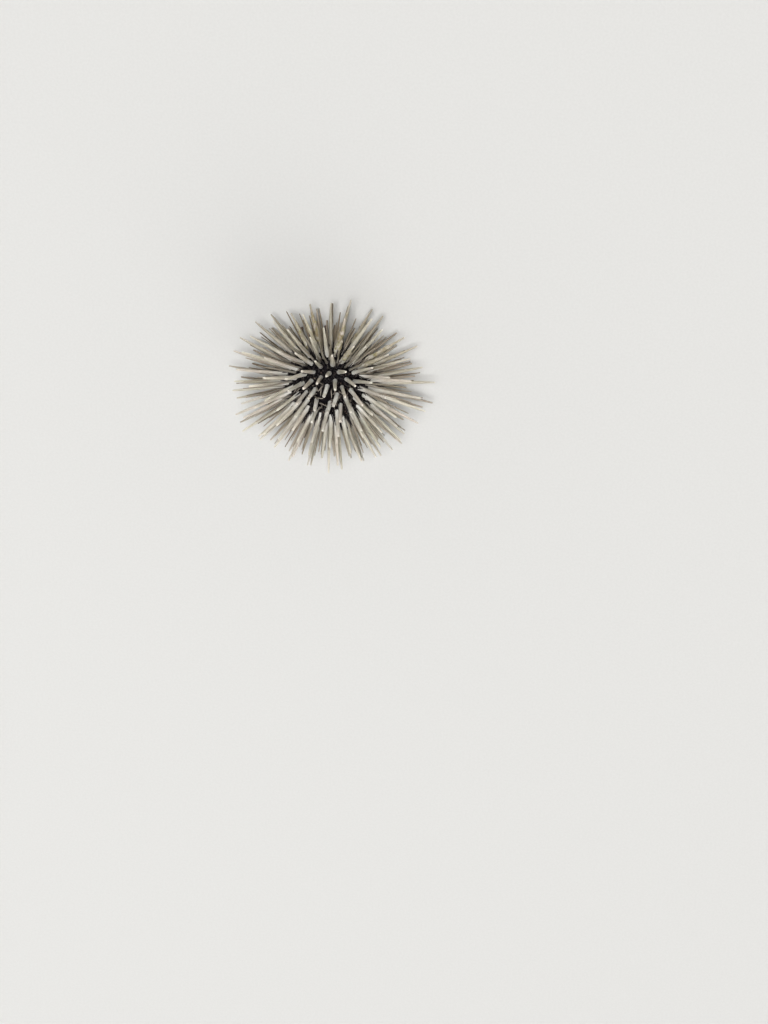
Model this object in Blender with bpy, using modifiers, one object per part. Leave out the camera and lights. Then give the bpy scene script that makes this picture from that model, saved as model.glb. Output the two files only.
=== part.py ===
"""Rock-boring urchin, an oval sea urchin with stout pointed spines.

The test is an oval dome with its long axis along X, its mouth down and its apex
up along Z. It is parted into its ten zones, each carrying its own spines. The
floor is the level Z = 0, where the lowest spines and the tube feet end flat.
"""

import math

import bmesh
import bpy
import numpy as np
from mathutils import Matrix, Vector

MM = 0.001
SEED = 22

# The test (the rigid shell): an oval dome, long axis along X, mouth down.
TEST_HALF_LENGTH = 21.0 * MM
TEST_HALF_WIDTH = 17.7 * MM
TEST_RISE = 12.0 * MM  # from the widest level, the ambitus, up to the apex
TEST_DROP = 8.6 * MM  # from the ambitus down to the flat underside
AMBITUS_Z = 13.4 * MM
DOME_POWER = 2.1
UNDERSIDE_POWER = 2.6

# Five narrow zones with tube feet (ambulacra) and five wide ones between them.
AMBULACRUM_HALF_DEG = 13.5
FIRST_AMBULACRUM_DEG = 180.0  # ambulacrum I lies at one end of the long axis

# A zone's columns of spines: turn from its middle, first and last place (0 is
# the apex, 90 the ambitus), share of the full thickness and length, and how
# far the column's rows are shifted, so that neighbours stand between each other.
NARROW_COLUMNS = (
    (-6.2, 24, 148, 0.86, 0.93, 0.30),
    (6.2, 24, 148, 0.86, 0.93, 0.80),
)
WIDE_COLUMNS = (
    (-16.4, 56, 132, 0.93, 0.95, 0.20),
    (-6.3, 14.5, 149, 1.00, 1.00, 0.65),
    (6.3, 14.5, 149, 1.00, 1.00, 0.20),
    (16.4, 56, 132, 0.93, 0.95, 0.65),
)
FIRST_PLACE_DEG = 14.0
LAST_PLACE_DEG = 149.0
EDGE_ROOM = 0.42 * MM  # bare shell between a base and its zone's edge

# How a spine depends on where it stands, at these places from apex to mouth.
PLACES_DEG = (16, 30, 50, 75, 95, 112, 128, 149)
SPINE_BASE_MM = (2.02, 2.18, 2.28, 2.28, 2.18, 1.96, 1.66, 1.42)
SPINE_LENGTH_MM = (13.5, 18.0, 23.5, 28.2, 28.2, 20.0, 11.5, 7.0)
SPINE_LEAN_DEG = (4, 20, 40, 67, 88, 104, 120, 143)  # from straight up
COLUMN_ROOM_MM = (2.58, 2.62, 2.55, 2.18, 1.74, 1.49, 1.36, 1.30)  # bare shell between the bases of a column
SPOT_GAP_MM = (2.28, 2.27, 2.05, 1.63, 1.24, 1.04, 0.91, 0.85)  # and between any two bases
SIDE_LENGTH_SHARE = 0.87  # spines at the ends of the short axis against the long one
FAR_SIDE_LONGER = 0.07  # and those of the +Y flank are longer by this share
SPINE_TIP_MM = (0.76, 0.60, 0.47, 0.37, 0.34, 0.34, 0.40, 0.42)  # radius of the blunt point
SPINE_BULGE = 1.40  # 1 is a plain cone; more keeps the shaft thick for longer

JITTER_LEAN_DEG = 6.0
JITTER_TURN_DEG = 5.0
JITTER_LENGTH = 0.08
# Two spines stand out from the rest on one flank: their turns and places, and how far.
STANDING_OUT_DEG = ((256.0, 80.0), (267.0, 84.0))
STANDING_OUT = 1.16
CLEARANCE = 0.30 * MM
TIP_SINK = 0.25 * MM  # how far a propping tip passes the floor before it is cut flat
TIP_ABOVE = 0.9 * MM

TUBE_FOOT_RADIUS = 0.33 * MM
TUBE_FOOT_DEG = 11.2  # the pore zone, at the edge of an ambulacrum
TUBE_FOOT_PLACES_DEG = (114.0, 134.0)


def on_shell(turn, place):
    """Point of the shell's surface and its outward normal, in radians."""
    s, c = math.sin(place), math.cos(place)
    power = DOME_POWER if c >= 0 else UNDERSIDE_POWER
    height = TEST_RISE if c >= 0 else TEST_DROP
    out = abs(s) ** (2 / power)
    up = math.copysign(abs(c) ** (2 / power), c)
    x, y = math.cos(turn), math.sin(turn)
    point = np.array(
        [TEST_HALF_LENGTH * out * x, TEST_HALF_WIDTH * out * y, AMBITUS_Z + height * up]
    )
    side = max(out, 1e-6) ** (power - 1)
    normal = np.array(
        [
            side * x / TEST_HALF_LENGTH,
            side * y / TEST_HALF_WIDTH,
            math.copysign(abs(up) ** (power - 1), c) / height,
        ]
    )
    return point, normal / np.linalg.norm(normal)


def at_place(values, place):
    return float(np.interp(math.degrees(place), PLACES_DEG, values))


def spine_radius(base, tip, t):
    """Radius of a spine at the share t of its length: a rod that narrows slowly to a blunt point."""
    return tip + (base - tip) * (1 - np.clip(t, 0, 1) ** SPINE_BULGE)


def row_places(turn, first, last, share, shift):
    """Places of one column's spines, spaced as their bases are thick."""
    fine = np.radians(np.linspace(first, last, 600))
    line = np.array([on_shell(turn, p)[0] for p in fine])
    step = np.linalg.norm(np.diff(line, axis=0), axis=1) / MM
    room = np.array([at_place(SPINE_BASE_MM, p) * share + at_place(COLUMN_ROOM_MM, p) for p in fine[1:]])
    run = np.concatenate([[0], np.cumsum(step / room)])
    rows = int(run[-1] + 0.5)
    return np.interp((np.arange(rows) + shift) / rows * run[-1], run, fine)


def direction(lean, turn):
    return np.array(
        [math.sin(lean) * math.cos(turn), math.sin(lean) * math.sin(turn), math.cos(lean)]
    )


def zones():
    """(kind, number, middle in degrees) of the ten zones, counted as echinoid workers do."""
    found = []
    for k in range(5):
        found.append(("ambulacrum", k + 1, FIRST_AMBULACRUM_DEG + 72.0 * k))
        found.append(("interambulacrum", k + 1, FIRST_AMBULACRUM_DEG + 36.0 + 72.0 * k))
    return found


def planted_spots(chance):
    """Where the spines stand: every zone's columns, a little out of line, then evened out."""
    spots = []
    for zone, (kind, number, middle) in enumerate(zones()):
        narrow = kind == "ambulacrum"
        half = AMBULACRUM_HALF_DEG if narrow else 36.0 - AMBULACRUM_HALF_DEG
        columns = NARROW_COLUMNS if narrow else WIDE_COLUMNS
        for column, (offset, first, last, share, reach_share, shift) in enumerate(columns):
            along = math.radians(middle + offset)
            for row, place in enumerate(row_places(along, first, last, share, shift)):
                wobble = chance.uniform(-1, 1, 2)
                spots.append(
                    dict(
                        zone=zone,
                        narrow=narrow,
                        column=column,
                        row=row,
                        middle=math.radians(middle),
                        half=math.radians(half),
                        share=share,
                        reach_share=reach_share,
                        place=place + math.radians(1.6) * wobble[0],
                        turn=along + math.radians(1.2) * wobble[1],
                    )
                )
    place = np.array([m["place"] for m in spots])
    turn = np.array([m["turn"] for m in spots])
    middle = np.array([m["middle"] for m in spots])
    half = np.array([m["half"] for m in spots])
    radius = np.array([at_place(SPINE_BASE_MM, m["place"]) / 2 * m["share"] * MM for m in spots])
    gap = np.array([at_place(SPOT_GAP_MM, m["place"]) / 2 * MM for m in spots])
    room = (radius + gap)[:, None] + (radius + gap)[None, :]
    np.fill_diagonal(room, 0)
    for _ in range(60):
        point = np.array([on_shell(t, p)[0] for t, p in zip(turn, place)])
        around = np.array([on_shell(t + 1e-4, p)[0] for t, p in zip(turn, place)]) - point
        down = np.array([on_shell(t, p + 1e-4)[0] for t, p in zip(turn, place)]) - point
        apart = point[:, None] - point[None, :]
        far = np.linalg.norm(apart, axis=2) + 1e-9
        short = np.clip(room - far, 0, None)
        push = (apart / far[:, :, None] * short[:, :, None]).sum(1) * 0.3
        for values, along in ((turn, around), (place, down)):
            size = np.linalg.norm(along, axis=1)
            values += (push * along).sum(1) / size**2 * 1e-4
        place = np.clip(place, math.radians(FIRST_PLACE_DEG), math.radians(LAST_PLACE_DEG))
        edge = (radius + EDGE_ROOM) / (np.linalg.norm(around, axis=1) / 1e-4)
        turn = middle + np.clip(turn - middle, -(half - edge), half - edge)
    for m, p, t in zip(spots, place, turn):
        m["place"], m["turn"] = float(p), float(t)
    return spots


def planted_limbs():
    """Every primary spine and the tube feet that hold the floor, as dictionaries."""
    chance = np.random.RandomState(SEED)
    limbs = []
    spots = planted_spots(chance)
    for turn, place in STANDING_OUT_DEG:
        nearest = min(
            spots,
            key=lambda m: math.hypot(
                m["turn"] - math.radians(turn), m["place"] - math.radians(place)
            ),
        )
        nearest["reach_share"] *= STANDING_OUT
    for spot in spots:
        place, turn, column, row = spot["place"], spot["turn"], spot["column"], spot["row"]
        wobble = chance.uniform(-1, 1, 5)
        point, normal = on_shell(turn, place)
        plain = math.radians(at_place(SPINE_LEAN_DEG, place))
        lean = plain + math.radians(JITTER_LEAN_DEG) * wobble[0] * (
            2.0 if place < math.radians(24) else 1.0
        )
        outward = math.atan2(point[1], point[0])
        square = math.atan2(normal[1], normal[0])
        turned = math.atan2(
            math.sin(outward) + math.sin(square), math.cos(outward) + math.cos(square)
        )
        swung = turned + math.radians(JITTER_TURN_DEG) * wobble[1] / max(
            math.sin(plain), 0.35
        )
        side = 1 - (1 - SIDE_LENGTH_SHARE) * math.sin(turn) ** 2
        side += FAR_SIDE_LONGER * max(0.0, math.sin(turn)) ** 1.5
        length = (
            at_place(SPINE_LENGTH_MM, place)
            * spot["reach_share"]
            * side
            * (1 + JITTER_LENGTH * wobble[2])
            * MM
        )
        base = at_place(SPINE_BASE_MM, place) / 2 * spot["share"] * (1 + 0.04 * wobble[3]) * MM
        tip = at_place(SPINE_TIP_MM, place) * MM
        prop = None
        if point[2] + length * math.cos(lean) < TIP_ABOVE:
            rests = place > math.radians(106) and (row + column + spot["zone"]) % 2 == 0
            prop = -TIP_SINK if rests else TIP_ABOVE * (0.8 + 0.5 * abs(wobble[4]))
            lean = plain = math.acos(max(-0.97, min(0.97, (prop - point[2]) / length)))
        limbs.append(
            dict(
                kind="spine",
                zone=spot["zone"],
                narrow=spot["narrow"],
                row=row,
                column=column,
                place=place,
                turn=turn,
                point=point,
                normal=normal,
                plain=direction(plain, turned),
                way=direction(lean, swung),
                length=length,
                base=base,
                tip=min(tip, base * 0.75),
                prop=prop,
            )
        )
    # Between the spines at an ambulacrum's edges, tube feet reach down to the floor.
    for zone, (kind, number, middle) in enumerate(zones()):
        if kind != "ambulacrum":
            continue
        for sign in (-1, 1):
            beside = sorted(
                m["place"]
                for m in spots
                if m["zone"] == zone and (m["turn"] - m["middle"]) * sign > 0
            )
            gaps = (np.array(beside[1:]) + np.array(beside[:-1])) / 2
            for wanted in TUBE_FOOT_PLACES_DEG:
                place = float(gaps[np.argmin(abs(gaps - math.radians(wanted)))])
                turn = math.radians(middle + sign * TUBE_FOOT_DEG)
                point, normal = on_shell(turn, place)
                way = direction(math.radians(136), math.atan2(point[1], point[0]))
                limbs.append(
                    dict(
                        kind="foot",
                        zone=zone,
                        narrow=True,
                        row=0,
                        column=0,
                        place=place,
                        turn=turn,
                        point=point,
                        normal=normal,
                        plain=way,
                        way=way,
                        length=-point[2] / way[2],
                        base=TUBE_FOOT_RADIUS,
                        tip=TUBE_FOOT_RADIUS * 2.0,
                        prop=0.0,
                    )
                )
    return limbs


def closest(p, d, q, e):
    """For segments p + s d and q + t e, with s and t from 0 to 1: the s and t where they pass closest."""
    r = p - q
    a = (d * d).sum(1)
    c = (e * e).sum(1)
    b = (d * e).sum(1)
    f = (e * r).sum(1)
    g = (d * r).sum(1)
    flat = np.maximum(a * c - b * b, 1e-18)
    s = np.clip((b * f - g * c) / flat, 0, 1)
    t = np.clip((b * s + f) / c, 0, 1)
    s = np.clip((b * t - g) / a, 0, 1)
    return s, t


def limb_radius(limb_base, limb_tip, t, foot):
    plain = spine_radius(limb_base, limb_tip, t)
    return np.where(foot, np.where(t > 0.86, limb_tip * 1.1, limb_base * 1.1), plain)


def spread_apart(limbs, rounds=260):
    """Leans each limb from its plain direction to its wished one, and keeps all of them clear."""
    point = np.array([m["point"] for m in limbs])
    plain = np.array([m["plain"] for m in limbs])
    wish = np.array([m["way"] for m in limbs])
    way = plain.copy()
    length = np.array([m["length"] for m in limbs])
    base = np.array([m["base"] for m in limbs])
    tip = np.array([m["tip"] for m in limbs])
    foot = np.array([m["kind"] == "foot" for m in limbs])
    prop = np.array([np.nan if m["prop"] is None else m["prop"] for m in limbs])
    held = ~np.isnan(prop)
    one, two = np.triu_indices(len(limbs), 1)
    near = np.linalg.norm(point[one] - point[two], axis=1) < 0.030
    one, two = one[near], two[near]
    worst = 0.0
    for turn in range(rounds):
        d, e = way[one] * length[one, None], way[two] * length[two, None]
        s, t = closest(point[one], d, point[two], e)
        apart = point[one] + d * s[:, None] - point[two] - e * t[:, None]
        far = np.linalg.norm(apart, axis=1)
        short = (
            limb_radius(base[one], tip[one], s, foot[one])
            + limb_radius(base[two], tip[two], t, foot[two])
            + CLEARANCE
            - far
        )
        worst = float(short.max())
        leaning = turn < rounds * 0.6
        bad = short > 0
        if not bad.any() and not leaning:
            break
        push = apart[bad] / np.maximum(far[bad], 1e-7)[:, None]
        move = np.zeros_like(way)
        for index, at, sign in ((one, s, 1.0), (two, t, -1.0)):
            arm = np.maximum(at[bad], 0.4) * length[index[bad]]
            np.add.at(
                move,
                index[bad],
                sign * push * (0.45 * np.minimum(short[bad], 0.5 * MM) / arm)[:, None],
            )
        if leaning:
            aim = plain + (wish - plain) * min(1.0, turn / (rounds * 0.4))
            move += 0.12 * (aim - way)
        move -= way * (move * way).sum(1)[:, None]
        way = way + move
        way /= np.linalg.norm(way, axis=1)[:, None]
        # A limb that stands on the floor turns about the vertical only.
        for i in np.nonzero(held)[0]:
            flat = math.atan2(way[i, 1], way[i, 0])
            if foot[i]:
                lean = math.acos(max(-0.985, min(-0.45, way[i, 2])))
                way[i] = direction(lean, flat)
                length[i] = -point[i, 2] / way[i, 2]
            else:
                z = (prop[i] - point[i, 2]) / length[i]
                way[i] = direction(math.acos(max(-0.985, min(0.985, z))), flat)
        low = (point[:, 2] + length * way[:, 2] < 0.45 * MM) & ~held
        for i in np.nonzero(low)[0]:
            z = (0.5 * MM - point[i, 2]) / length[i]
            way[i] = direction(math.acos(z), math.atan2(way[i, 1], way[i, 0]))
    for i, m in enumerate(limbs):
        m["way"], m["length"] = way[i], float(length[i])
    return worst


def centred(limbs):
    """The shift that puts the middle of the object's outline over the origin."""
    ends = np.array([m["point"] + m["way"] * m["length"] for m in limbs])
    tips = np.array([m["tip"] for m in limbs])[:, None]
    low = (ends - tips)[:, :2].min(0)
    high = (ends + tips)[:, :2].max(0)
    return np.array([-(low[0] + high[0]) / 2, -(low[1] + high[1]) / 2, 0.0])


# Parts of the test, seen from above.
GAP = 0.3 * MM
DISC_RADIUS = 3.6 * MM
DISC_DEPTH = 1.6 * MM
DISC_EDGE_DROP = 0.35 * MM
ANUS_PATCH_RADIUS = 1.55 * MM
ANUS_PATCH_RISE = 0.45 * MM
MADREPORITE_DEG = 288.0  # the middle of interambulacrum 2
MADREPORITE_HALF_DEG = 33.0
MADREPORITE_SWELL = 0.35 * MM
MOUTH_RADIUS = 8.6 * MM
MOUTH_SQUASH = 0.93
MOUTH_WELL_DEPTH = 1.3 * MM
MOUTH_BULGE = 1.1 * MM
TEETH_RADIUS = 2.0 * MM
TOOTH_LENGTH = 1.9 * MM
TOOTH_RADIUS = 0.55 * MM
CORE_RADIUS = 1.1 * MM  # the zones' inner edges stop this far from the axis

APEX = AMBITUS_Z + TEST_RISE
UNDERSIDE = AMBITUS_Z - TEST_DROP
SQUASH = TEST_HALF_WIDTH / TEST_HALF_LENGTH

SHELL_LEVELS = 13
SHELL_SIDES = 40
SPINE_SIDES = 6
ROOT_DEPTH = 0.75 * MM
FULLER = 1.0 / math.sqrt(math.cos(math.pi / SPINE_SIDES))  # flats as far out as a round

DARK_SKIN = (0.030, 0.026, 0.030)
PALE_SPINE = (0.46, 0.42, 0.36)
PARTS = None
CUTTERS = None
ROOT = None


def material(name, colour, roughness):
    made = bpy.data.materials.new(name)
    made.use_nodes = True
    shader = made.node_tree.nodes["Principled BSDF"]
    shader.inputs["Base Color"].default_value = (*colour, 1.0)
    shader.inputs["Roughness"].default_value = roughness
    shader.inputs["Metallic"].default_value = 0.0
    return made


def place_object(name, mesh, cutter=False):
    body = bpy.data.objects.new(name, mesh)
    (CUTTERS if cutter else PARTS).objects.link(body)
    body.parent = ROOT
    if cutter:
        body.hide_render = True
        body.display_type = "WIRE"
    return body


def mesh_of(bm, name):
    mesh = bpy.data.meshes.new(name)
    bm.to_mesh(mesh)
    bm.free()
    return mesh


def smooth(mesh, degrees=35):
    mesh.shade_smooth()
    mesh.set_sharp_from_angle(angle=math.radians(degrees))


def turned(name, profile, sides, squash=1.0):
    """A mesh turned about Z by a Screw modifier, from (radius, height) pairs, top to bottom."""
    bm = bmesh.new()
    line = [bm.verts.new((radius, 0, height)) for radius, height in profile]
    for a, b in zip(line, line[1:]):
        bm.edges.new((a, b))
    guide = place_object(name + "_profile", mesh_of(bm, name + "_profile"), cutter=True)
    screw = guide.modifiers.new("turn", "SCREW")
    screw.axis = "Z"
    screw.angle = 2 * math.pi
    screw.steps = screw.render_steps = sides
    screw.use_merge_vertices = True
    screw.merge_threshold = 0.00001
    view = bpy.context.evaluated_depsgraph_get()
    mesh = bpy.data.meshes.new_from_object(guide.evaluated_get(view))
    mesh.name = name
    line_mesh = guide.data
    bpy.data.objects.remove(guide)
    bpy.data.meshes.remove(line_mesh)
    mesh.transform(Matrix.Diagonal((1, squash, 1, 1)))
    return mesh


def drum(name, radius, low, high, sides, squash=1.0):
    """An upright cylinder between two heights, as a cutter."""
    bm = bmesh.new()
    bmesh.ops.create_cone(
        bm, cap_ends=True, segments=sides, radius1=radius, radius2=radius, depth=high - low,
        matrix=Matrix.Translation((0, 0, (low + high) / 2)),
    )
    bmesh.ops.scale(bm, vec=(1, squash, 1), verts=bm.verts)
    return place_object(name, mesh_of(bm, name), cutter=True)


def carve(body, tool, operation):
    step = body.modifiers.new(tool.name, "BOOLEAN")
    step.operation = operation
    step.solver = "EXACT"
    step.object = tool


def trim(bm, point, outward):
    """Cuts away what lies beyond a plane, and closes the cut."""
    cut = bmesh.ops.bisect_plane(
        bm, geom=bm.verts[:] + bm.edges[:] + bm.faces[:], dist=1e-8,
        plane_co=point, plane_no=outward, clear_outer=True,
    )
    rim = [e for e in cut["geom_cut"] if isinstance(e, bmesh.types.BMEdge)]
    if rim:
        bmesh.ops.holes_fill(bm, edges=rim, sides=0)


def slice_of(mesh, middle, half, gap, inner=None):
    """The slice of a turned mesh between two upright planes through its axis, in degrees."""
    bm = bmesh.new()
    bm.from_mesh(mesh)
    for sign in (-1, 1):
        edge = math.radians(middle + sign * half)
        along = Vector((math.cos(edge), math.sin(edge) * SQUASH, 0)).normalized()
        outward = Vector((-along.y, along.x, 0)) * sign
        trim(bm, -outward * gap / 2, outward)
    if inner is not None:
        turn = math.radians(middle)
        inward = Vector((-math.cos(turn), -math.sin(turn), 0))
        trim(bm, -inward * inner, inward)
    bmesh.ops.recalc_face_normals(bm, faces=bm.faces)
    return bm


def shell_profile():
    """The test's outline from apex to underside."""
    pairs = []
    for level in range(SHELL_LEVELS + 1):
        point, _ = on_shell(0.0, math.pi * level / SHELL_LEVELS)
        pairs.append((float(point[0]), float(point[2])))
    pairs[0] = (0.0, pairs[0][1])
    pairs[-1] = (0.0, pairs[-1][1])
    return pairs


def grow(bm, face, reach, radius):
    """Extrudes a round end face by a distance, and gives it a new radius."""
    centre = face.calc_center_median()
    old = (face.verts[0].co - centre).length
    made = bmesh.ops.extrude_discrete_faces(bm, faces=[face])["faces"][0]
    bmesh.ops.translate(bm, vec=(0, 0, reach), verts=made.verts[:])
    share = radius / old
    bmesh.ops.scale(
        bm, vec=(share, share, 1), verts=made.verts[:],
        space=Matrix.Translation(-centre - Vector((0, 0, reach))),
    )
    return made


def limb_mesh(limb):
    """A spine or tube foot, from its root under the shell to its tip, cut level at the floor."""
    way = Vector(limb["way"])
    root = Vector(limb["point"]) - (Vector(limb["normal"]) + way) * ROOT_DEPTH * 0.5
    buried = (Vector(limb["point"]) - root).length
    length = limb["length"]
    foot = limb["kind"] == "foot"
    rests = foot or (limb["prop"] is not None and limb["prop"] < 0)
    base = limb["base"] * FULLER
    if foot:
        first, second = length * 0.80, base
    else:
        # One straight taper; what stands on the floor passes it, and is cut level below.
        first, second = length + (0.5 * MM if rests else 0.0), limb["tip"] * FULLER
    bm = bmesh.new()
    bmesh.ops.create_cone(
        bm, cap_ends=True, segments=SPINE_SIDES, radius1=base, radius2=second,
        depth=buried + first, matrix=Matrix.Translation((0, 0, (buried + first) / 2)),
    )
    end = max(bm.faces, key=lambda f: f.calc_center_median().z)
    if foot:
        end = grow(bm, end, length * 0.13, limb["tip"] * FULLER)
        grow(bm, end, length * 0.07 + 0.8 * MM, limb["tip"] * FULLER)
    bm.transform(Matrix.Translation(root) @ way.to_track_quat("Z", "Y").to_matrix().to_4x4())
    if min(v.co.z for v in bm.verts) < 0:
        trim(bm, Vector((0, 0, 0)), Vector((0, 0, -1)))
    bmesh.ops.recalc_face_normals(bm, faces=bm.faces)
    return mesh_of(bm, "limb")


def limb_cluster(name, limbs):
    """A zone's spines and tube feet in one mesh, all clear of each other."""
    whole = bmesh.new()
    for limb in limbs:
        mesh = limb_mesh(limb)
        whole.from_mesh(mesh)
        bpy.data.meshes.remove(mesh)
    for face in whole.faces:
        face.material_index = 1
    return place_object(name, mesh_of(whole, name), cutter=True)


def build_zones(limbs):
    shell = turned("shell", shell_profile(), SHELL_SIDES, SQUASH)
    well = drum("disc_well", DISC_RADIUS + GAP / 2, APEX - DISC_DEPTH - GAP, APEX + 5 * MM, 30)
    mouth = drum(
        "mouth_well", MOUTH_RADIUS + GAP / 2, -MM, UNDERSIDE + MOUTH_WELL_DEPTH, 30, MOUTH_SQUASH
    )
    spine_look = material("spine", PALE_SPINE, 0.6)
    for index, (kind, number, middle) in enumerate(zones()):
        if kind == "ambulacrum":
            name = "ambulacrum_" + ("I", "II", "III", "IV", "V")[number - 1]
            half = AMBULACRUM_HALF_DEG
        else:
            name = "interambulacrum_%d" % number
            half = 36.0 - AMBULACRUM_HALF_DEG
        mesh = mesh_of(slice_of(shell, middle, half, GAP, CORE_RADIUS), name)
        mesh.materials.append(material(name, DARK_SKIN, 0.45))
        mesh.materials.append(spine_look)
        smooth(mesh)
        zone = place_object(name, mesh)
        cluster = limb_cluster(name + "_limbs", [m for m in limbs if m["zone"] == index])
        carve(zone, well, "DIFFERENCE")
        carve(zone, mouth, "DIFFERENCE")
        carve(zone, cluster, "UNION")
    bpy.data.meshes.remove(shell)


def build_apical_disc():
    """A ring of plates round the patch of the anus, with the swollen madreporite let in."""
    radius = DISC_RADIUS - GAP / 2
    cap = [
        (0.0, APEX), (DISC_RADIUS * 0.6, APEX), (radius, APEX - DISC_EDGE_DROP),
        (radius, APEX - DISC_DEPTH), (0.0, APEX - DISC_DEPTH),
    ]
    swollen = [(r, z + (MADREPORITE_SWELL if z > APEX - DISC_DEPTH / 2 else 0)) for r, z in cap]
    hole = drum("disc_hole", ANUS_PATCH_RADIUS + GAP / 2, APEX - 3 * MM, APEX + 3 * MM, 20)

    mesh = turned("apical_disc", cap, 30)
    mesh.materials.append(material("apical_disc", (0.050, 0.040, 0.045), 0.5))
    smooth(mesh)
    disc = place_object("apical_disc", mesh)
    notch = place_object(
        "disc_notch",
        mesh_of(
            slice_of(
                turned("notch", [(0.0, APEX + MM), (6 * MM, APEX + MM), (6 * MM, APEX - 2 * MM), (0.0, APEX - 2 * MM)], 30),
                MADREPORITE_DEG, MADREPORITE_HALF_DEG, -GAP, 1.0 * MM,
            ),
            "disc_notch",
        ),
        cutter=True,
    )
    carve(disc, hole, "DIFFERENCE")
    carve(disc, notch, "DIFFERENCE")

    whole = turned("madreporite", swollen, 30)
    mesh = mesh_of(
        slice_of(whole, MADREPORITE_DEG, MADREPORITE_HALF_DEG, GAP, 1.2 * MM), "madreporite"
    )
    bpy.data.meshes.remove(whole)
    mesh.materials.append(material("madreporite", (0.075, 0.060, 0.058), 0.55))
    smooth(mesh)
    carve(place_object("madreporite", mesh), hole, "DIFFERENCE")

    radius = ANUS_PATCH_RADIUS - GAP / 2
    mesh = turned(
        "periproct",
        [
            (0.0, APEX + ANUS_PATCH_RISE), (radius * 0.55, APEX + ANUS_PATCH_RISE * 0.8),
            (radius, APEX - 0.1 * MM), (radius, APEX - DISC_DEPTH), (0.0, APEX - DISC_DEPTH),
        ],
        20,
    )
    mesh.materials.append(material("periproct", (0.035, 0.028, 0.032), 0.45))
    smooth(mesh)
    place_object("periproct", mesh)


def build_mouth():
    """The soft field round the mouth, and the tips of the five teeth in its middle."""
    ceiling = UNDERSIDE + MOUTH_WELL_DEPTH - GAP
    radius = MOUTH_RADIUS - GAP / 2
    lip = TEETH_RADIUS + 0.7 * MM
    mesh = turned(
        "peristome",
        [
            (0.0, ceiling), (radius, ceiling), (radius, UNDERSIDE + 0.25 * MM),
            (lip * 1.35, UNDERSIDE - MOUTH_BULGE * 0.9), (lip, UNDERSIDE - MOUTH_BULGE),
            (0.0, UNDERSIDE - MOUTH_BULGE),
        ],
        30,
        MOUTH_SQUASH,
    )
    mesh.materials.append(material("peristome", (0.060, 0.040, 0.042), 0.5))
    smooth(mesh)
    field = place_object("peristome", mesh)
    carve(field, drum("mouth_hole", TEETH_RADIUS + GAP, 0.0, APEX, 20), "DIFFERENCE")

    mesh = turned(
        "teeth",
        [(0.0, ceiling), (TEETH_RADIUS, ceiling), (TEETH_RADIUS, UNDERSIDE - 0.3 * MM), (0.0, UNDERSIDE - 0.3 * MM)],
        20,
    )
    mesh.materials.append(material("teeth", (0.70, 0.68, 0.62), 0.4))
    smooth(mesh)
    socket = place_object("teeth", mesh)
    tips = bmesh.new()
    for k in range(5):
        turn = Matrix.Rotation(math.radians(FIRST_AMBULACRUM_DEG + 36 + 72 * k), 4, "Z")
        lean = Matrix.Rotation(math.radians(180 + 16), 4, "Y")
        seat = Matrix.Translation((1.22 * MM, 0, UNDERSIDE - 0.75 * MM))
        bmesh.ops.create_cone(
            tips, cap_ends=True, segments=4, radius1=TOOTH_RADIUS, radius2=TOOTH_RADIUS * 0.3,
            depth=TOOTH_LENGTH, matrix=turn @ seat @ lean,
        )
    carve(socket, place_object("tooth_tips", mesh_of(tips, "tooth_tips"), cutter=True), "UNION")


for item in list(bpy.data.objects):
    bpy.data.objects.remove(item)
PARTS = bpy.data.collections.new("rock_boring_urchin")
CUTTERS = bpy.data.collections.new("cutters")
for group in (PARTS, CUTTERS):
    bpy.context.scene.collection.children.link(group)

all_limbs = planted_limbs()
spread_apart(all_limbs)

# The empty brings the middle of the outline over the origin.
ROOT = bpy.data.objects.new("urchin_middle", None)
ROOT.location = centred(all_limbs)
PARTS.objects.link(ROOT)

build_zones(all_limbs)
build_apical_disc()
build_mouth()
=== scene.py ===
"""Looks of the rock-boring urchin: its dark skinned test, every spine with its
milled ring and ribs, the small spines and tube feet between them, the plates
round the apex, and the soft mouth with its five teeth beneath."""

import math

import bpy
import numpy as np
from mathutils import Matrix, Vector
from mathutils.kdtree import KDTree


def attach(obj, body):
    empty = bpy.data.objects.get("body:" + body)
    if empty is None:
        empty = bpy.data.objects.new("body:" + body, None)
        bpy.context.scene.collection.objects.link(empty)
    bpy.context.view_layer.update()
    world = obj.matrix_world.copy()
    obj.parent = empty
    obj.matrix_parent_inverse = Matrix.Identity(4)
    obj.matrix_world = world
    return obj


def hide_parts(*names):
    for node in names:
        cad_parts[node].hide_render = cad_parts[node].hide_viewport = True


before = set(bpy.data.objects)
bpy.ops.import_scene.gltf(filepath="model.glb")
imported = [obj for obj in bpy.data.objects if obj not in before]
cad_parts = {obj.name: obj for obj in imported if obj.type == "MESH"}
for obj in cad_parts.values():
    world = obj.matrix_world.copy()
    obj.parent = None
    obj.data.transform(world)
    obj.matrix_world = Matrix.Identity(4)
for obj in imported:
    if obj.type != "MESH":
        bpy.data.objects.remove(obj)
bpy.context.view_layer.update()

# ---------------------------------------------------------------------------
# Where everything grows: the same rules as in the construction.
# ---------------------------------------------------------------------------

MM = 0.001
SEED = 22

# The test (the rigid shell): an oval dome, long axis along X, mouth down.
TEST_HALF_LENGTH = 21.0 * MM
TEST_HALF_WIDTH = 17.7 * MM
TEST_RISE = 12.0 * MM  # from the widest level, the ambitus, up to the apex
TEST_DROP = 8.6 * MM  # from the ambitus down to the flat underside
AMBITUS_Z = 13.4 * MM
DOME_POWER = 2.1
UNDERSIDE_POWER = 2.6

# Five narrow zones with tube feet (ambulacra) and five wide ones between them.
AMBULACRUM_HALF_DEG = 13.5
FIRST_AMBULACRUM_DEG = 180.0  # ambulacrum I lies at one end of the long axis

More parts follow.
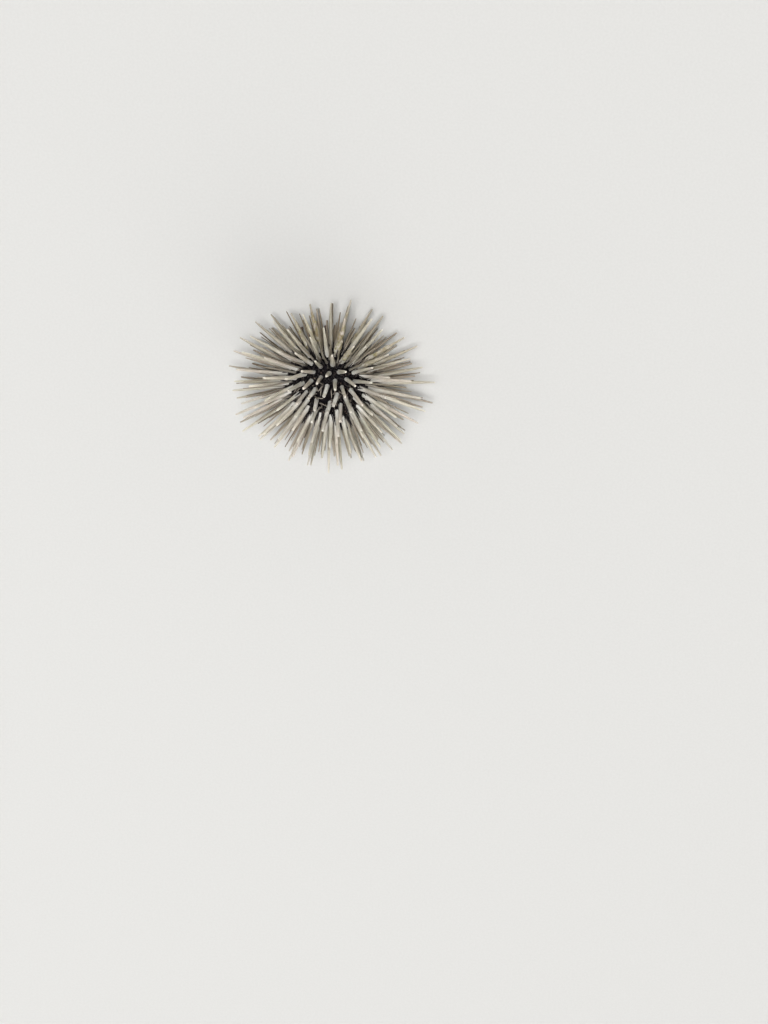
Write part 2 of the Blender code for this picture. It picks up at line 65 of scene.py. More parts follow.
# A zone's columns of spines: turn from its middle, first and last place (0 is
# the apex, 90 the ambitus), share of the full thickness and length, and how
# far the column's rows are shifted, so that neighbours stand between each other.
NARROW_COLUMNS = (
    (-6.2, 24, 148, 0.86, 0.93, 0.30),
    (6.2, 24, 148, 0.86, 0.93, 0.80),
)
WIDE_COLUMNS = (
    (-16.4, 56, 132, 0.93, 0.95, 0.20),
    (-6.3, 14.5, 149, 1.00, 1.00, 0.65),
    (6.3, 14.5, 149, 1.00, 1.00, 0.20),
    (16.4, 56, 132, 0.93, 0.95, 0.65),
)
FIRST_PLACE_DEG = 14.0
LAST_PLACE_DEG = 149.0
EDGE_ROOM = 0.42 * MM  # bare shell between a base and its zone's edge

# How a spine depends on where it stands, at these places from apex to mouth.
PLACES_DEG = (16, 30, 50, 75, 95, 112, 128, 149)
SPINE_BASE_MM = (2.02, 2.18, 2.28, 2.28, 2.18, 1.96, 1.66, 1.42)
SPINE_LENGTH_MM = (13.5, 18.0, 23.5, 28.2, 28.2, 20.0, 11.5, 7.0)
SPINE_LEAN_DEG = (4, 20, 40, 67, 88, 104, 120, 143)  # from straight up
COLUMN_ROOM_MM = (2.58, 2.62, 2.55, 2.18, 1.74, 1.49, 1.36, 1.30)  # bare shell between the bases of a column
SPOT_GAP_MM = (2.28, 2.27, 2.05, 1.63, 1.24, 1.04, 0.91, 0.85)  # and between any two bases
SIDE_LENGTH_SHARE = 0.87  # spines at the ends of the short axis against the long one
FAR_SIDE_LONGER = 0.07  # and those of the +Y flank are longer by this share
SPINE_TIP_MM = (0.76, 0.60, 0.47, 0.37, 0.34, 0.34, 0.40, 0.42)  # radius of the blunt point
SPINE_BULGE = 1.40  # 1 is a plain cone; more keeps the shaft thick for longer

JITTER_LEAN_DEG = 6.0
JITTER_TURN_DEG = 5.0
JITTER_LENGTH = 0.08
# Two spines stand out from the rest on one flank: their turns and places, and how far.
STANDING_OUT_DEG = ((256.0, 80.0), (267.0, 84.0))
STANDING_OUT = 1.16
CLEARANCE = 0.30 * MM
TIP_SINK = 0.25 * MM  # how far a propping tip passes the floor before it is cut flat
TIP_ABOVE = 0.9 * MM

TUBE_FOOT_RADIUS = 0.33 * MM
TUBE_FOOT_DEG = 11.2  # the pore zone, at the edge of an ambulacrum
TUBE_FOOT_PLACES_DEG = (114.0, 134.0)


def on_shell(turn, place):
    """Point of the shell's surface and its outward normal, in radians."""
    s, c = math.sin(place), math.cos(place)
    power = DOME_POWER if c >= 0 else UNDERSIDE_POWER
    height = TEST_RISE if c >= 0 else TEST_DROP
    out = abs(s) ** (2 / power)
    up = math.copysign(abs(c) ** (2 / power), c)
    x, y = math.cos(turn), math.sin(turn)
    point = np.array(
        [TEST_HALF_LENGTH * out * x, TEST_HALF_WIDTH * out * y, AMBITUS_Z + height * up]
    )
    side = max(out, 1e-6) ** (power - 1)
    normal = np.array(
        [
            side * x / TEST_HALF_LENGTH,
            side * y / TEST_HALF_WIDTH,
            math.copysign(abs(up) ** (power - 1), c) / height,
        ]
    )
    return point, normal / np.linalg.norm(normal)


def at_place(values, place):
    return float(np.interp(math.degrees(place), PLACES_DEG, values))


def spine_radius(base, tip, t):
    """Radius of a spine at the share t of its length: a rod that narrows slowly to a blunt point."""
    return tip + (base - tip) * (1 - np.clip(t, 0, 1) ** SPINE_BULGE)


def row_places(turn, first, last, share, shift):
    """Places of one column's spines, spaced as their bases are thick."""
    fine = np.radians(np.linspace(first, last, 600))
    line = np.array([on_shell(turn, p)[0] for p in fine])
    step = np.linalg.norm(np.diff(line, axis=0), axis=1) / MM
    room = np.array([at_place(SPINE_BASE_MM, p) * share + at_place(COLUMN_ROOM_MM, p) for p in fine[1:]])
    run = np.concatenate([[0], np.cumsum(step / room)])
    rows = int(run[-1] + 0.5)
    return np.interp((np.arange(rows) + shift) / rows * run[-1], run, fine)


def direction(lean, turn):
    return np.array(
        [math.sin(lean) * math.cos(turn), math.sin(lean) * math.sin(turn), math.cos(lean)]
    )


def zones():
    """(kind, number, middle in degrees) of the ten zones, counted as echinoid workers do."""
    found = []
    for k in range(5):
        found.append(("ambulacrum", k + 1, FIRST_AMBULACRUM_DEG + 72.0 * k))
        found.append(("interambulacrum", k + 1, FIRST_AMBULACRUM_DEG + 36.0 + 72.0 * k))
    return found


def planted_spots(chance):
    """Where the spines stand: every zone's columns, a little out of line, then evened out."""
    spots = []
    for zone, (kind, number, middle) in enumerate(zones()):
        narrow = kind == "ambulacrum"
        half = AMBULACRUM_HALF_DEG if narrow else 36.0 - AMBULACRUM_HALF_DEG
        columns = NARROW_COLUMNS if narrow else WIDE_COLUMNS
        for column, (offset, first, last, share, reach_share, shift) in enumerate(columns):
            along = math.radians(middle + offset)
            for row, place in enumerate(row_places(along, first, last, share, shift)):
                wobble = chance.uniform(-1, 1, 2)
                spots.append(
                    dict(
                        zone=zone,
                        narrow=narrow,
                        column=column,
                        row=row,
                        middle=math.radians(middle),
                        half=math.radians(half),
                        share=share,
                        reach_share=reach_share,
                        place=place + math.radians(1.6) * wobble[0],
                        turn=along + math.radians(1.2) * wobble[1],
                    )
                )
    place = np.array([m["place"] for m in spots])
    turn = np.array([m["turn"] for m in spots])
    middle = np.array([m["middle"] for m in spots])
    half = np.array([m["half"] for m in spots])
    radius = np.array([at_place(SPINE_BASE_MM, m["place"]) / 2 * m["share"] * MM for m in spots])
    gap = np.array([at_place(SPOT_GAP_MM, m["place"]) / 2 * MM for m in spots])
    room = (radius + gap)[:, None] + (radius + gap)[None, :]
    np.fill_diagonal(room, 0)
    for _ in range(60):
        point = np.array([on_shell(t, p)[0] for t, p in zip(turn, place)])
        around = np.array([on_shell(t + 1e-4, p)[0] for t, p in zip(turn, place)]) - point
        down = np.array([on_shell(t, p + 1e-4)[0] for t, p in zip(turn, place)]) - point
        apart = point[:, None] - point[None, :]
        far = np.linalg.norm(apart, axis=2) + 1e-9
        short = np.clip(room - far, 0, None)
        push = (apart / far[:, :, None] * short[:, :, None]).sum(1) * 0.3
        for values, along in ((turn, around), (place, down)):
            size = np.linalg.norm(along, axis=1)
            values += (push * along).sum(1) / size**2 * 1e-4
        place = np.clip(place, math.radians(FIRST_PLACE_DEG), math.radians(LAST_PLACE_DEG))
        edge = (radius + EDGE_ROOM) / (np.linalg.norm(around, axis=1) / 1e-4)
        turn = middle + np.clip(turn - middle, -(half - edge), half - edge)
    for m, p, t in zip(spots, place, turn):
        m["place"], m["turn"] = float(p), float(t)
    return spots


def planted_limbs():
    """Every primary spine and the tube feet that hold the floor, as dictionaries."""
    chance = np.random.RandomState(SEED)
    limbs = []
    spots = planted_spots(chance)
    for turn, place in STANDING_OUT_DEG:
        nearest = min(
            spots,
            key=lambda m: math.hypot(
                m["turn"] - math.radians(turn), m["place"] - math.radians(place)
            ),
        )
        nearest["reach_share"] *= STANDING_OUT
    for spot in spots:
        place, turn, column, row = spot["place"], spot["turn"], spot["column"], spot["row"]
        wobble = chance.uniform(-1, 1, 5)
        point, normal = on_shell(turn, place)
        plain = math.radians(at_place(SPINE_LEAN_DEG, place))
        lean = plain + math.radians(JITTER_LEAN_DEG) * wobble[0] * (
            2.0 if place < math.radians(24) else 1.0
        )
        outward = math.atan2(point[1], point[0])
        square = math.atan2(normal[1], normal[0])
        turned = math.atan2(
            math.sin(outward) + math.sin(square), math.cos(outward) + math.cos(square)
        )
        swung = turned + math.radians(JITTER_TURN_DEG) * wobble[1] / max(
            math.sin(plain), 0.35
        )
        side = 1 - (1 - SIDE_LENGTH_SHARE) * math.sin(turn) ** 2
        side += FAR_SIDE_LONGER * max(0.0, math.sin(turn)) ** 1.5
        length = (
            at_place(SPINE_LENGTH_MM, place)
            * spot["reach_share"]
            * side
            * (1 + JITTER_LENGTH * wobble[2])
            * MM
        )
        base = at_place(SPINE_BASE_MM, place) / 2 * spot["share"] * (1 + 0.04 * wobble[3]) * MM
        tip = at_place(SPINE_TIP_MM, place) * MM
        prop = None
        if point[2] + length * math.cos(lean) < TIP_ABOVE:
            rests = place > math.radians(106) and (row + column + spot["zone"]) % 2 == 0
            prop = -TIP_SINK if rests else TIP_ABOVE * (0.8 + 0.5 * abs(wobble[4]))
            lean = plain = math.acos(max(-0.97, min(0.97, (prop - point[2]) / length)))
        limbs.append(
            dict(
                kind="spine",
                zone=spot["zone"],
                narrow=spot["narrow"],
                row=row,
                column=column,
                place=place,
                turn=turn,
                point=point,
                normal=normal,
                plain=direction(plain, turned),
                way=direction(lean, swung),
                length=length,
                base=base,
                tip=min(tip, base * 0.75),
                prop=prop,
            )
        )
    # Between the spines at an ambulacrum's edges, tube feet reach down to the floor.
    for zone, (kind, number, middle) in enumerate(zones()):
        if kind != "ambulacrum":
            continue
        for sign in (-1, 1):
            beside = sorted(
                m["place"]
                for m in spots
                if m["zone"] == zone and (m["turn"] - m["middle"]) * sign > 0
            )
            gaps = (np.array(beside[1:]) + np.array(beside[:-1])) / 2
            for wanted in TUBE_FOOT_PLACES_DEG:
                place = float(gaps[np.argmin(abs(gaps - math.radians(wanted)))])
                turn = math.radians(middle + sign * TUBE_FOOT_DEG)
                point, normal = on_shell(turn, place)
                way = direction(math.radians(136), math.atan2(point[1], point[0]))
                limbs.append(
                    dict(
                        kind="foot",
                        zone=zone,
                        narrow=True,
                        row=0,
                        column=0,
                        place=place,
                        turn=turn,
                        point=point,
                        normal=normal,
                        plain=way,
                        way=way,
                        length=-point[2] / way[2],
                        base=TUBE_FOOT_RADIUS,
                        tip=TUBE_FOOT_RADIUS * 2.0,
                        prop=0.0,
                    )
                )
    return limbs


def closest(p, d, q, e):
    """For segments p + s d and q + t e, with s and t from 0 to 1: the s and t where they pass closest."""
    r = p - q
    a = (d * d).sum(1)
    c = (e * e).sum(1)
    b = (d * e).sum(1)
    f = (e * r).sum(1)
    g = (d * r).sum(1)
    flat = np.maximum(a * c - b * b, 1e-18)
    s = np.clip((b * f - g * c) / flat, 0, 1)
    t = np.clip((b * s + f) / c, 0, 1)
    s = np.clip((b * t - g) / a, 0, 1)
    return s, t


def limb_radius(limb_base, limb_tip, t, foot):
    plain = spine_radius(limb_base, limb_tip, t)
    return np.where(foot, np.where(t > 0.86, limb_tip * 1.1, limb_base * 1.1), plain)


def spread_apart(limbs, rounds=260):
    """Leans each limb from its plain direction to its wished one, and keeps all of them clear."""
    point = np.array([m["point"] for m in limbs])
    plain = np.array([m["plain"] for m in limbs])
    wish = np.array([m["way"] for m in limbs])
    way = plain.copy()
    length = np.array([m["length"] for m in limbs])
    base = np.array([m["base"] for m in limbs])
    tip = np.array([m["tip"] for m in limbs])
    foot = np.array([m["kind"] == "foot" for m in limbs])
    prop = np.array([np.nan if m["prop"] is None else m["prop"] for m in limbs])
    held = ~np.isnan(prop)
    one, two = np.triu_indices(len(limbs), 1)
    near = np.linalg.norm(point[one] - point[two], axis=1) < 0.030
    one, two = one[near], two[near]
    worst = 0.0
    for turn in range(rounds):
        d, e = way[one] * length[one, None], way[two] * length[two, None]
        s, t = closest(point[one], d, point[two], e)
        apart = point[one] + d * s[:, None] - point[two] - e * t[:, None]
        far = np.linalg.norm(apart, axis=1)
        short = (
            limb_radius(base[one], tip[one], s, foot[one])
            + limb_radius(base[two], tip[two], t, foot[two])
            + CLEARANCE
            - far
        )
        worst = float(short.max())
        leaning = turn < rounds * 0.6
        bad = short > 0
        if not bad.any() and not leaning:
            break
        push = apart[bad] / np.maximum(far[bad], 1e-7)[:, None]
        move = np.zeros_like(way)
        for index, at, sign in ((one, s, 1.0), (two, t, -1.0)):
            arm = np.maximum(at[bad], 0.4) * length[index[bad]]
            np.add.at(
                move,
                index[bad],
                sign * push * (0.45 * np.minimum(short[bad], 0.5 * MM) / arm)[:, None],
            )
        if leaning:
            aim = plain + (wish - plain) * min(1.0, turn / (rounds * 0.4))
            move += 0.12 * (aim - way)
        move -= way * (move * way).sum(1)[:, None]
        way = way + move
        way /= np.linalg.norm(way, axis=1)[:, None]
        # A limb that stands on the floor turns about the vertical only.
        for i in np.nonzero(held)[0]:
            flat = math.atan2(way[i, 1], way[i, 0])
            if foot[i]:
                lean = math.acos(max(-0.985, min(-0.45, way[i, 2])))
                way[i] = direction(lean, flat)
                length[i] = -point[i, 2] / way[i, 2]
            else:
                z = (prop[i] - point[i, 2]) / length[i]
                way[i] = direction(math.acos(max(-0.985, min(0.985, z))), flat)
        low = (point[:, 2] + length * way[:, 2] < 0.45 * MM) & ~held
        for i in np.nonzero(low)[0]:
            z = (0.5 * MM - point[i, 2]) / length[i]
            way[i] = direction(math.acos(z), math.atan2(way[i, 1], way[i, 0]))
    for i, m in enumerate(limbs):
        m["way"], m["length"] = way[i], float(length[i])
    return worst


def centred(limbs):
    """The shift that puts the middle of the object's outline over the origin."""
    ends = np.array([m["point"] + m["way"] * m["length"] for m in limbs])
    tips = np.array([m["tip"] for m in limbs])[:, None]
    low = (ends - tips)[:, :2].min(0)
    high = (ends + tips)[:, :2].max(0)
    return np.array([-(low[0] + high[0]) / 2, -(low[1] + high[1]) / 2, 0.0])


# ---------------------------------------------------------------------------
# Sizes of what only the looks need.
# ---------------------------------------------------------------------------

DISC_RADIUS = 3.6 * MM
MADREPORITE_DEG = 288.0
MADREPORITE_HALF_DEG = 33.0
ANUS_PATCH_RADIUS = 1.55 * MM
MOUTH_RADIUS = 8.6 * MM
MOUTH_SQUASH = 0.93
TEETH_RADIUS = 2.0 * MM
APEX = AMBITUS_Z + TEST_RISE
UNDERSIDE = AMBITUS_Z - TEST_DROP
SQUASH = TEST_HALF_WIDTH / TEST_HALF_LENGTH
SKIN_DEPTH = 0.12 * MM  # the skin lies this far inside the solids' surface

RIB_COUNT = 18
SPINE_AROUND = 36
SPINE_RINGS = 27
CRUSTED_RINGS = 48
COLLAR_MM = 1.0  # height of the milled ring's ridge above the shell

ZONE_NODES = [
    ("ambulacrum_" + ("I", "II", "III", "IV", "V")[number - 1])
    if kind == "ambulacrum"
    else "interambulacrum_%d" % number
    for kind, number, _ in zones()
]

limbs = planted_limbs()
spread_apart(limbs)
SHIFT = centred(limbs)
primaries = [m for m in limbs if m["kind"] == "spine"]
holding_feet = [m for m in limbs if m["kind"] == "foot"]


def smoothstep(low, high, x):
    t = np.clip((x - low) / (high - low), 0, 1)
    return t * t * (3 - 2 * t)


def frames_of(ways):
    """Two directions square to each of many unit vectors."""
    helper = np.where(np.abs(ways[:, 2:3]) < 0.9, [[0.0, 0.0, 1.0]], [[1.0, 0.0, 0.0]])
    a = np.cross(helper, ways)
    a /= np.linalg.norm(a, axis=1)[:, None]
    return a, np.cross(ways, a)


def hash_noise(points, seed):
    """Smooth noise from -1 to 1 at points, from a lattice of seeded numbers."""
    table = np.random.RandomState(seed).uniform(-1, 1, 4096)
    cell = np.floor(points).astype(int)
    part = points - cell
    part = part * part * (3 - 2 * part)
    total = 0
    for dx in (0, 1):
        for dy in (0, 1):
            for dz in (0, 1):
                c = cell + (dx, dy, dz)
                key = (c[:, 0] * 73856093) ^ (c[:, 1] * 19349663) ^ (c[:, 2] * 83492791)
                weight = (
                    (part[:, 0] if dx else 1 - part[:, 0])
                    * (part[:, 1] if dy else 1 - part[:, 1])
                    * (part[:, 2] if dz else 1 - part[:, 2])
                )
                total = total + table[key % 4096] * weight
    return total


class Pile:
    """Gathers vertices, faces, map corners and point values of one piece."""

    def __init__(self):
        self.points, self.faces, self.corners = [], [], []
        self.values = {}
        self.count = 0

    def add(self, points, faces, corners, values):
        """faces: a list of index arrays, with quads or triangles; corners: the same shape with a UV pair each."""
        points = np.asarray(points, float)
        for f, c in zip(faces, corners):
            self.faces.append(f + self.count)
            self.corners.append(c)
        for key, value in values.items():
            self.values.setdefault(key, []).append(np.asarray(value, float))
        self.points.append(points)
        self.count += len(points)

    def piece(self, name, material, shift=True, replaces=(), slot=None):
        points = np.concatenate(self.points)
        if shift:
            points = points + SHIFT
        loops = np.concatenate([f.ravel() for f in self.faces])
        sizes = np.concatenate([np.full(len(f), f.shape[1]) for f in self.faces])
        starts = np.concatenate([[0], np.cumsum(sizes)[:-1]])
        mesh = bpy.data.meshes.new(name)
        mesh.vertices.add(len(points))
        mesh.vertices.foreach_set("co", points.astype(np.float32).ravel())
        mesh.loops.add(len(loops))
        mesh.loops.foreach_set("vertex_index", loops.astype(np.int32))
        mesh.polygons.add(len(sizes))
        mesh.polygons.foreach_set("loop_start", starts.astype(np.int32))
        mesh.update(calc_edges=True)
        uv = mesh.uv_layers.new(name="OFBake")
        uv.data.foreach_set(
            "uv", np.concatenate([c.reshape(-1, 2) for c in self.corners]).astype(np.float32).ravel()
        )
        for key, parts in self.values.items():
            value = np.concatenate(parts)
            if value.ndim == 1:
                layer = mesh.attributes.new(key, "FLOAT", "POINT")
                layer.data.foreach_set("value", value.astype(np.float32))
            else:
                layer = mesh.attributes.new(key, "FLOAT_VECTOR", "POINT")
                layer.data.foreach_set("vector", value.astype(np.float32).ravel())
        mesh.validate()
        mesh.shade_smooth()
        mesh.materials.append(material)
        body = bpy.data.objects.new(name, mesh)
        bpy.context.scene.collection.objects.link(body)
        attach(body, "root")
        if replaces:
            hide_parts(*replaces)
        return body


def tube_faces(rings, around):
    """Quads of a tube's wall, and the triangles that close both its ends on a middle point."""
    i, j = np.meshgrid(np.arange(rings - 1), np.arange(around), indexing="ij")
    n = (j + 1) % around
    wall = np.stack([i * around + j, i * around + n, (i + 1) * around + n, (i + 1) * around + j], -1)
    wall = wall.reshape(-1, 4)
    k = np.arange(around)
    n = (k + 1) % around
    first, last = rings * around, rings * around + 1
    foot = np.stack([np.full(around, first), n, k], -1)
    top = (rings - 1) * around
    head = np.stack([top + k, top + n, np.full(around, last)], -1)
    return [wall, foot, head]


def tube_corners(rings, around, cell):
    """The tube's strip in the map: around is across the cell, and along is up it."""
    u0, v0, u1, v1 = cell
    i, j = np.meshgrid(np.arange(rings - 1), np.arange(around), indexing="ij")

    def spot(row, column):
        return np.stack(
            [u0 + (u1 - u0) * column / around, v0 + (v1 - v0) * (row + 0.7) / (rings + 0.4)], -1
        )

    wall = np.stack([spot(i, j), spot(i, j + 1), spot(i + 1, j + 1), spot(i + 1, j)], -2).reshape(-1, 4, 2)
    k = np.arange(around)
    foot = np.stack([spot(k * 0 - 0.6, k + 0.5), spot(k * 0, k + 1), spot(k * 0, k)], -2)
    end = k * 0 + rings - 1
    head = np.stack([spot(end, k), spot(end, k + 1), spot(end + 0.6, k + 0.5)], -2)
    return [wall, foot, head]


def cells(count, aspect):
    """Cells of a square map for so many strips, each aspect times as tall as wide."""
    columns = max(1, int(math.ceil(math.sqrt(count * aspect))))
    rows = int(math.ceil(count / columns))
    margin_u, margin_v = 0.06 / columns, 0.03 / rows
    made = []
    for k in range(count):
        c, r = k % columns, k // columns
        made.append(
            (
                c / columns + margin_u,
                r / rows + margin_v,
                (c + 1) / columns - margin_u,
                (r + 1) / rows - margin_v,
            )
        )
    return made


def skin_spot(turn, place):
    """A place on the unwrap of the test: the turn runs across and the meridian up."""
    return (turn / (2 * math.pi)) % 1.0, 1 - place / math.pi


# ---------------------------------------------------------------------------
# Materials.
# ---------------------------------------------------------------------------


class Shade:
    """A small helper to wire one Principled material."""

    def __init__(self, name, roughness, specular=0.5):
        self.material = bpy.data.materials.new(name)
        self.material.use_nodes = True
        self.tree = self.material.node_tree
        self.shader = self.tree.nodes["Principled BSDF"]
        self.shader.inputs["Roughness"].default_value = roughness
        self.shader.inputs["Specular IOR Level"].default_value = specular
        self.shader.inputs["IOR"].default_value = 1.45

    def node(self, kind, **settings):
        made = self.tree.nodes.new(kind)
        for key, value in settings.items():
            setattr(made, key, value)
        return made

    def link(self, source, target):
        self.tree.links.new(source, target)

    def attribute(self, name):
        made = self.node("ShaderNodeAttribute", attribute_type="GEOMETRY", attribute_name=name)
        return made

    def value(self, name):
        return self.attribute(name).outputs["Fac"]

    def math(self, operation, a, b=None, clamp=False):
        made = self.node("ShaderNodeMath", operation=operation, use_clamp=clamp)
        for socket, item in zip(made.inputs, (a, b)):
            if item is None:
                continue
            if isinstance(item, (int, float)):
                socket.default_value = item
            else:
                self.link(item, socket)
        return made.outputs[0]

    def spread(self, value, low, high, out_low=0.0, out_high=1.0, smooth=True):
        made = self.node("ShaderNodeMapRange", interpolation_type="SMOOTHSTEP" if smooth else "LINEAR")
        self.link(value, made.inputs["Value"])
        for key, number in (("From Min", low), ("From Max", high), ("To Min", out_low), ("To Max", out_high)):
            made.inputs[key].default_value = number
        return made.outputs["Result"]

    def mix(self, factor, a, b, blend="MIX"):
        made = self.node("ShaderNodeMix", data_type="RGBA", blend_type=blend)
        if isinstance(factor, (int, float)):
            made.inputs[0].default_value = factor
        else:
            self.link(factor, made.inputs[0])
        for socket, item in ((made.inputs[6], a), (made.inputs[7], b)):
            if isinstance(item, tuple):
                socket.default_value = (*item, 1.0)
            else:
                self.link(item, socket)
        return made.outputs[2]

    def noise(self, vector, scale, detail=3.0, roughness=0.55, distortion=0.0):
        made = self.node("ShaderNodeTexNoise")
        if vector is not None:
            self.link(vector, made.inputs["Vector"])
        made.inputs["Scale"].default_value = scale
        made.inputs["Detail"].default_value = detail
        made.inputs["Roughness"].default_value = roughness
        made.inputs["Distortion"].default_value = distortion
        return made.outputs["Fac"]

    def voronoi(self, vector, scale, feature="F1"):
        made = self.node("ShaderNodeTexVoronoi", feature=feature)
        self.link(vector, made.inputs["Vector"])
        made.inputs["Scale"].default_value = scale
        return made.outputs["Distance"]

    def stretched(self, vector, scale):
        made = self.node("ShaderNodeMapping")
        self.link(vector, made.inputs["Vector"])
        made.inputs["Scale"].default_value = scale
        return made.outputs["Vector"]

    def object_place(self):
        return self.node("ShaderNodeTexCoord").outputs["Object"]

    def colour(self, source):
        self.link(source, self.shader.inputs["Base Color"])

    def rough(self, source):
        self.link(source, self.shader.inputs["Roughness"])

    def bump(self, height, distance, strength=1.0, under=None):
        made = self.node("ShaderNodeBump")
        made.inputs["Strength"].default_value = strength
        made.inputs["Distance"].default_value = distance
        self.link(height, made.inputs["Height"])
        if under is not None:
            self.link(under, made.inputs["Normal"])
        self.link(made.outputs["Normal"], self.shader.inputs["Normal"])
        return made.outputs["Normal"]


CREAM = (0.634, 0.604, 0.540)
PINKISH = (0.600, 0.545, 0.505)
GREENISH = (0.545, 0.530, 0.448)
GREY = (0.557, 0.546, 0.512)
RING_WHITE = (0.795, 0.780, 0.745)
FILM_GREEN = (0.345, 0.330, 0.190)
FILM_BROWN = (0.330, 0.270, 0.170)
SKIN_BLACK = (0.0060, 0.0055, 0.0075)
SKIN_PURPLE = (0.0130, 0.0100, 0.0150)
SKIN_BROWN = (0.0280, 0.0210, 0.0220)


def spine_material(name="spine_calcite"):
    """Pale ribbed calcite. along runs 0 to 1, lp is the place on the spine in mm, luck is three numbers a spine."""
    m = Shade(name, 0.58, 0.32)
    along = m.value("along")
    lp = m.attribute("lp").outputs["Vector"]
    luck = m.node("ShaderNodeSeparateXYZ")
    m.link(m.attribute("luck").outputs["Vector"], luck.inputs[0])
    l1, l2, l3 = luck.outputs
    # Each spine has its own tint, and long soft streaks run down it.
    tint = m.mix(m.spread(l1, 0.25, 0.75), CREAM, GREY)
    tint = m.mix(m.spread(l2, 0.55, 0.95, 0.0, 0.75), tint, PINKISH)
    tint = m.mix(m.spread(l2, 0.45, 0.05, 0.0, 0.70), tint, GREENISH)
    streaks = m.noise(m.stretched(lp, (1.1, 1.1, 0.07)), 1.6, 4.0, 0.6)
    tint = m.mix(m.spread(streaks, 0.35, 0.75, 0.0, 0.55), tint, (0.286, 0.260, 0.212))
    pale = m.noise(m.stretched(lp, (2.2, 2.2, 0.16)), 1.3, 3.0, 0.5)
    tint = m.mix(m.spread(pale, 0.52, 0.78, 0.0, 0.60), tint, (0.675, 0.650, 0.602))
    # Faint bands of growth across it.
    bands = m.noise(m.stretched(lp, (0.05, 0.05, 0.9)), 1.0, 2.0, 0.4)
    tint = m.mix(m.spread(bands, 0.45, 0.70, 0.0, 0.22), tint, (0.358, 0.330, 0.276))
    # The shaft is paler low down, partly its own paler calcite and partly painted light that lifts the foot where its
    # neighbours shade it; the point is a little greyer and clearer.
    tint = m.mix(m.spread(along, 0.50, 0.10, 0.0, 0.92), tint, (0.812, 0.803, 0.772))
    tint = m.mix(m.spread(along, 0.75, 1.0, 0.0, 0.30), tint, (0.520, 0.495, 0.450))
    # Those at the crown are painted paler all along, painted light on the upright stubs that the key light only
    # grazes; their point is painted darker, painted shade on the tip that faces the key light.
    tint = m.mix(m.math("MULTIPLY", m.value("crown"), m.spread(along, 0.95, 0.70, 0.0, 0.85)), tint, (0.830, 0.828, 0.808))
    tint = m.mix(m.math("MULTIPLY", m.value("crown"), m.spread(along, 0.90, 0.99, 0.0, 0.6)), tint, (0.395, 0.378, 0.350))
    # The milled ring at its foot is the palest, above a dusky neck.
    height = m.value("rise")
    ring = m.spread(height, 2.20, 1.20)
    tint = m.mix(m.math("MULTIPLY", ring, 0.45), tint, RING_WHITE)
    neck = m.spread(height, 0.40, 0.24)
    tint = m.mix(neck, tint, (0.030, 0.022, 0.026))
    # A thin green-brown film dulls some of them, in patches.
    film = m.value("film")
    patches = m.noise(m.stretched(lp, (0.5, 0.5, 0.22)), 1.5, 4.0, 0.65)
    cover = m.math("MULTIPLY", film, m.spread(patches, 0.34, 0.58))
    dull = m.mix(m.spread(m.noise(lp, 0.7, 2.0), 0.4, 0.6), FILM_GREEN, FILM_BROWN)
    tint = m.mix(cover, tint, dull)
    # Darker between the ribs: painted shade in the grooves.
    groove = m.value("groove")
    tint = m.mix(m.math("MULTIPLY", groove, 0.36), tint, (0.260, 0.222, 0.172))
    # Those low on the flanks and beneath are painted darker and browner: painted shade under the spines above them.
    tint = m.mix(m.value("lower_shade_paint"), tint, (0.184, 0.155, 0.118))
    m.colour(tint)
    m.rough(m.spread(streaks, 0.2, 0.8, 0.50, 0.66))
    fine = m.noise(m.stretched(lp, (9.0, 9.0, 0.55)), 1.0, 3.0, 0.6)
    pits = m.noise(lp, 5.5, 3.0, 0.6)
    m.bump(m.math("ADD", fine, m.math("MULTIPLY", pits, 0.5)), 0.00006, 0.85)
    m.shader.inputs["Subsurface Weight"].default_value = 0.0
    return m.material


def skin_material(name, dark, light, brown, gloss, bump=1.0):
    """Dark moist skin with fine grain. ridge marks bosses and edges, where it is thin and paler."""
    m = Shade(name, gloss, 0.16)
    place = m.object_place()
    broad = m.noise(place, 260.0, 4.0, 0.6)
    tint = m.mix(m.spread(broad, 0.35, 0.70), dark, light)
    grains = m.voronoi(place, 3600.0)
    tint = m.mix(m.spread(grains, 0.45, 0.10, 0.0, 0.5), tint, brown)
    ridge = m.value("ridge")
    tint = m.mix(m.math("MULTIPLY", ridge, 0.65), tint, brown)
    # crease is painted darker: painted shade in the sunken rings round the bosses, in the hollows of the mouth's folds
    # and the sleeves' creases and down the throat, and the darker line of the pores and plate joints.
    crease = m.value("crease")
    tint = m.mix(m.math("MULTIPLY", crease, 0.75), tint, (dark[0] * 0.4, dark[1] * 0.4, dark[2] * 0.4))
    m.colour(tint)
    m.rough(m.spread(broad, 0.3, 0.7, gloss - 0.07, gloss + 0.12))
    fine = m.noise(place, 5200.0, 3.0, 0.6)
    m.bump(
        m.math("ADD", m.math("MULTIPLY", grains, -0.8), m.math("MULTIPLY", fine, 0.6)),
        0.00008 * bump,
        0.9,
    )
    return m.material


def small_spine_material():
    """Little spines: dusky at the root, pale at the point."""
    m = Shade("small_spines", 0.60, 0.20)
    along = m.value("along")
    luck = m.node("ShaderNodeSeparateXYZ")
    m.link(m.attribute("luck").outputs["Vector"], luck.inputs[0])
    l1, l2, l3 = luck.outputs
    tint = m.mix(m.spread(l1, 0.2, 0.8), (0.052, 0.048, 0.053), (0.094, 0.086, 0.086))
    tint = m.mix(m.spread(l2, 0.78, 0.90, 0.0, 0.9), tint, (0.330, 0.300, 0.265))
    tint = m.mix(m.spread(along, 0.60, 0.05, 0.0, 0.85), tint, (0.014, 0.011, 0.014))
    tint = m.mix(m.spread(along, 0.80, 1.0, 0.0, 0.35), tint, (0.300, 0.270, 0.240))
    m.colour(tint)
    m.bump(m.noise(m.object_place(), 4200.0, 2.0), 0.00004, 0.6)
    return m.material


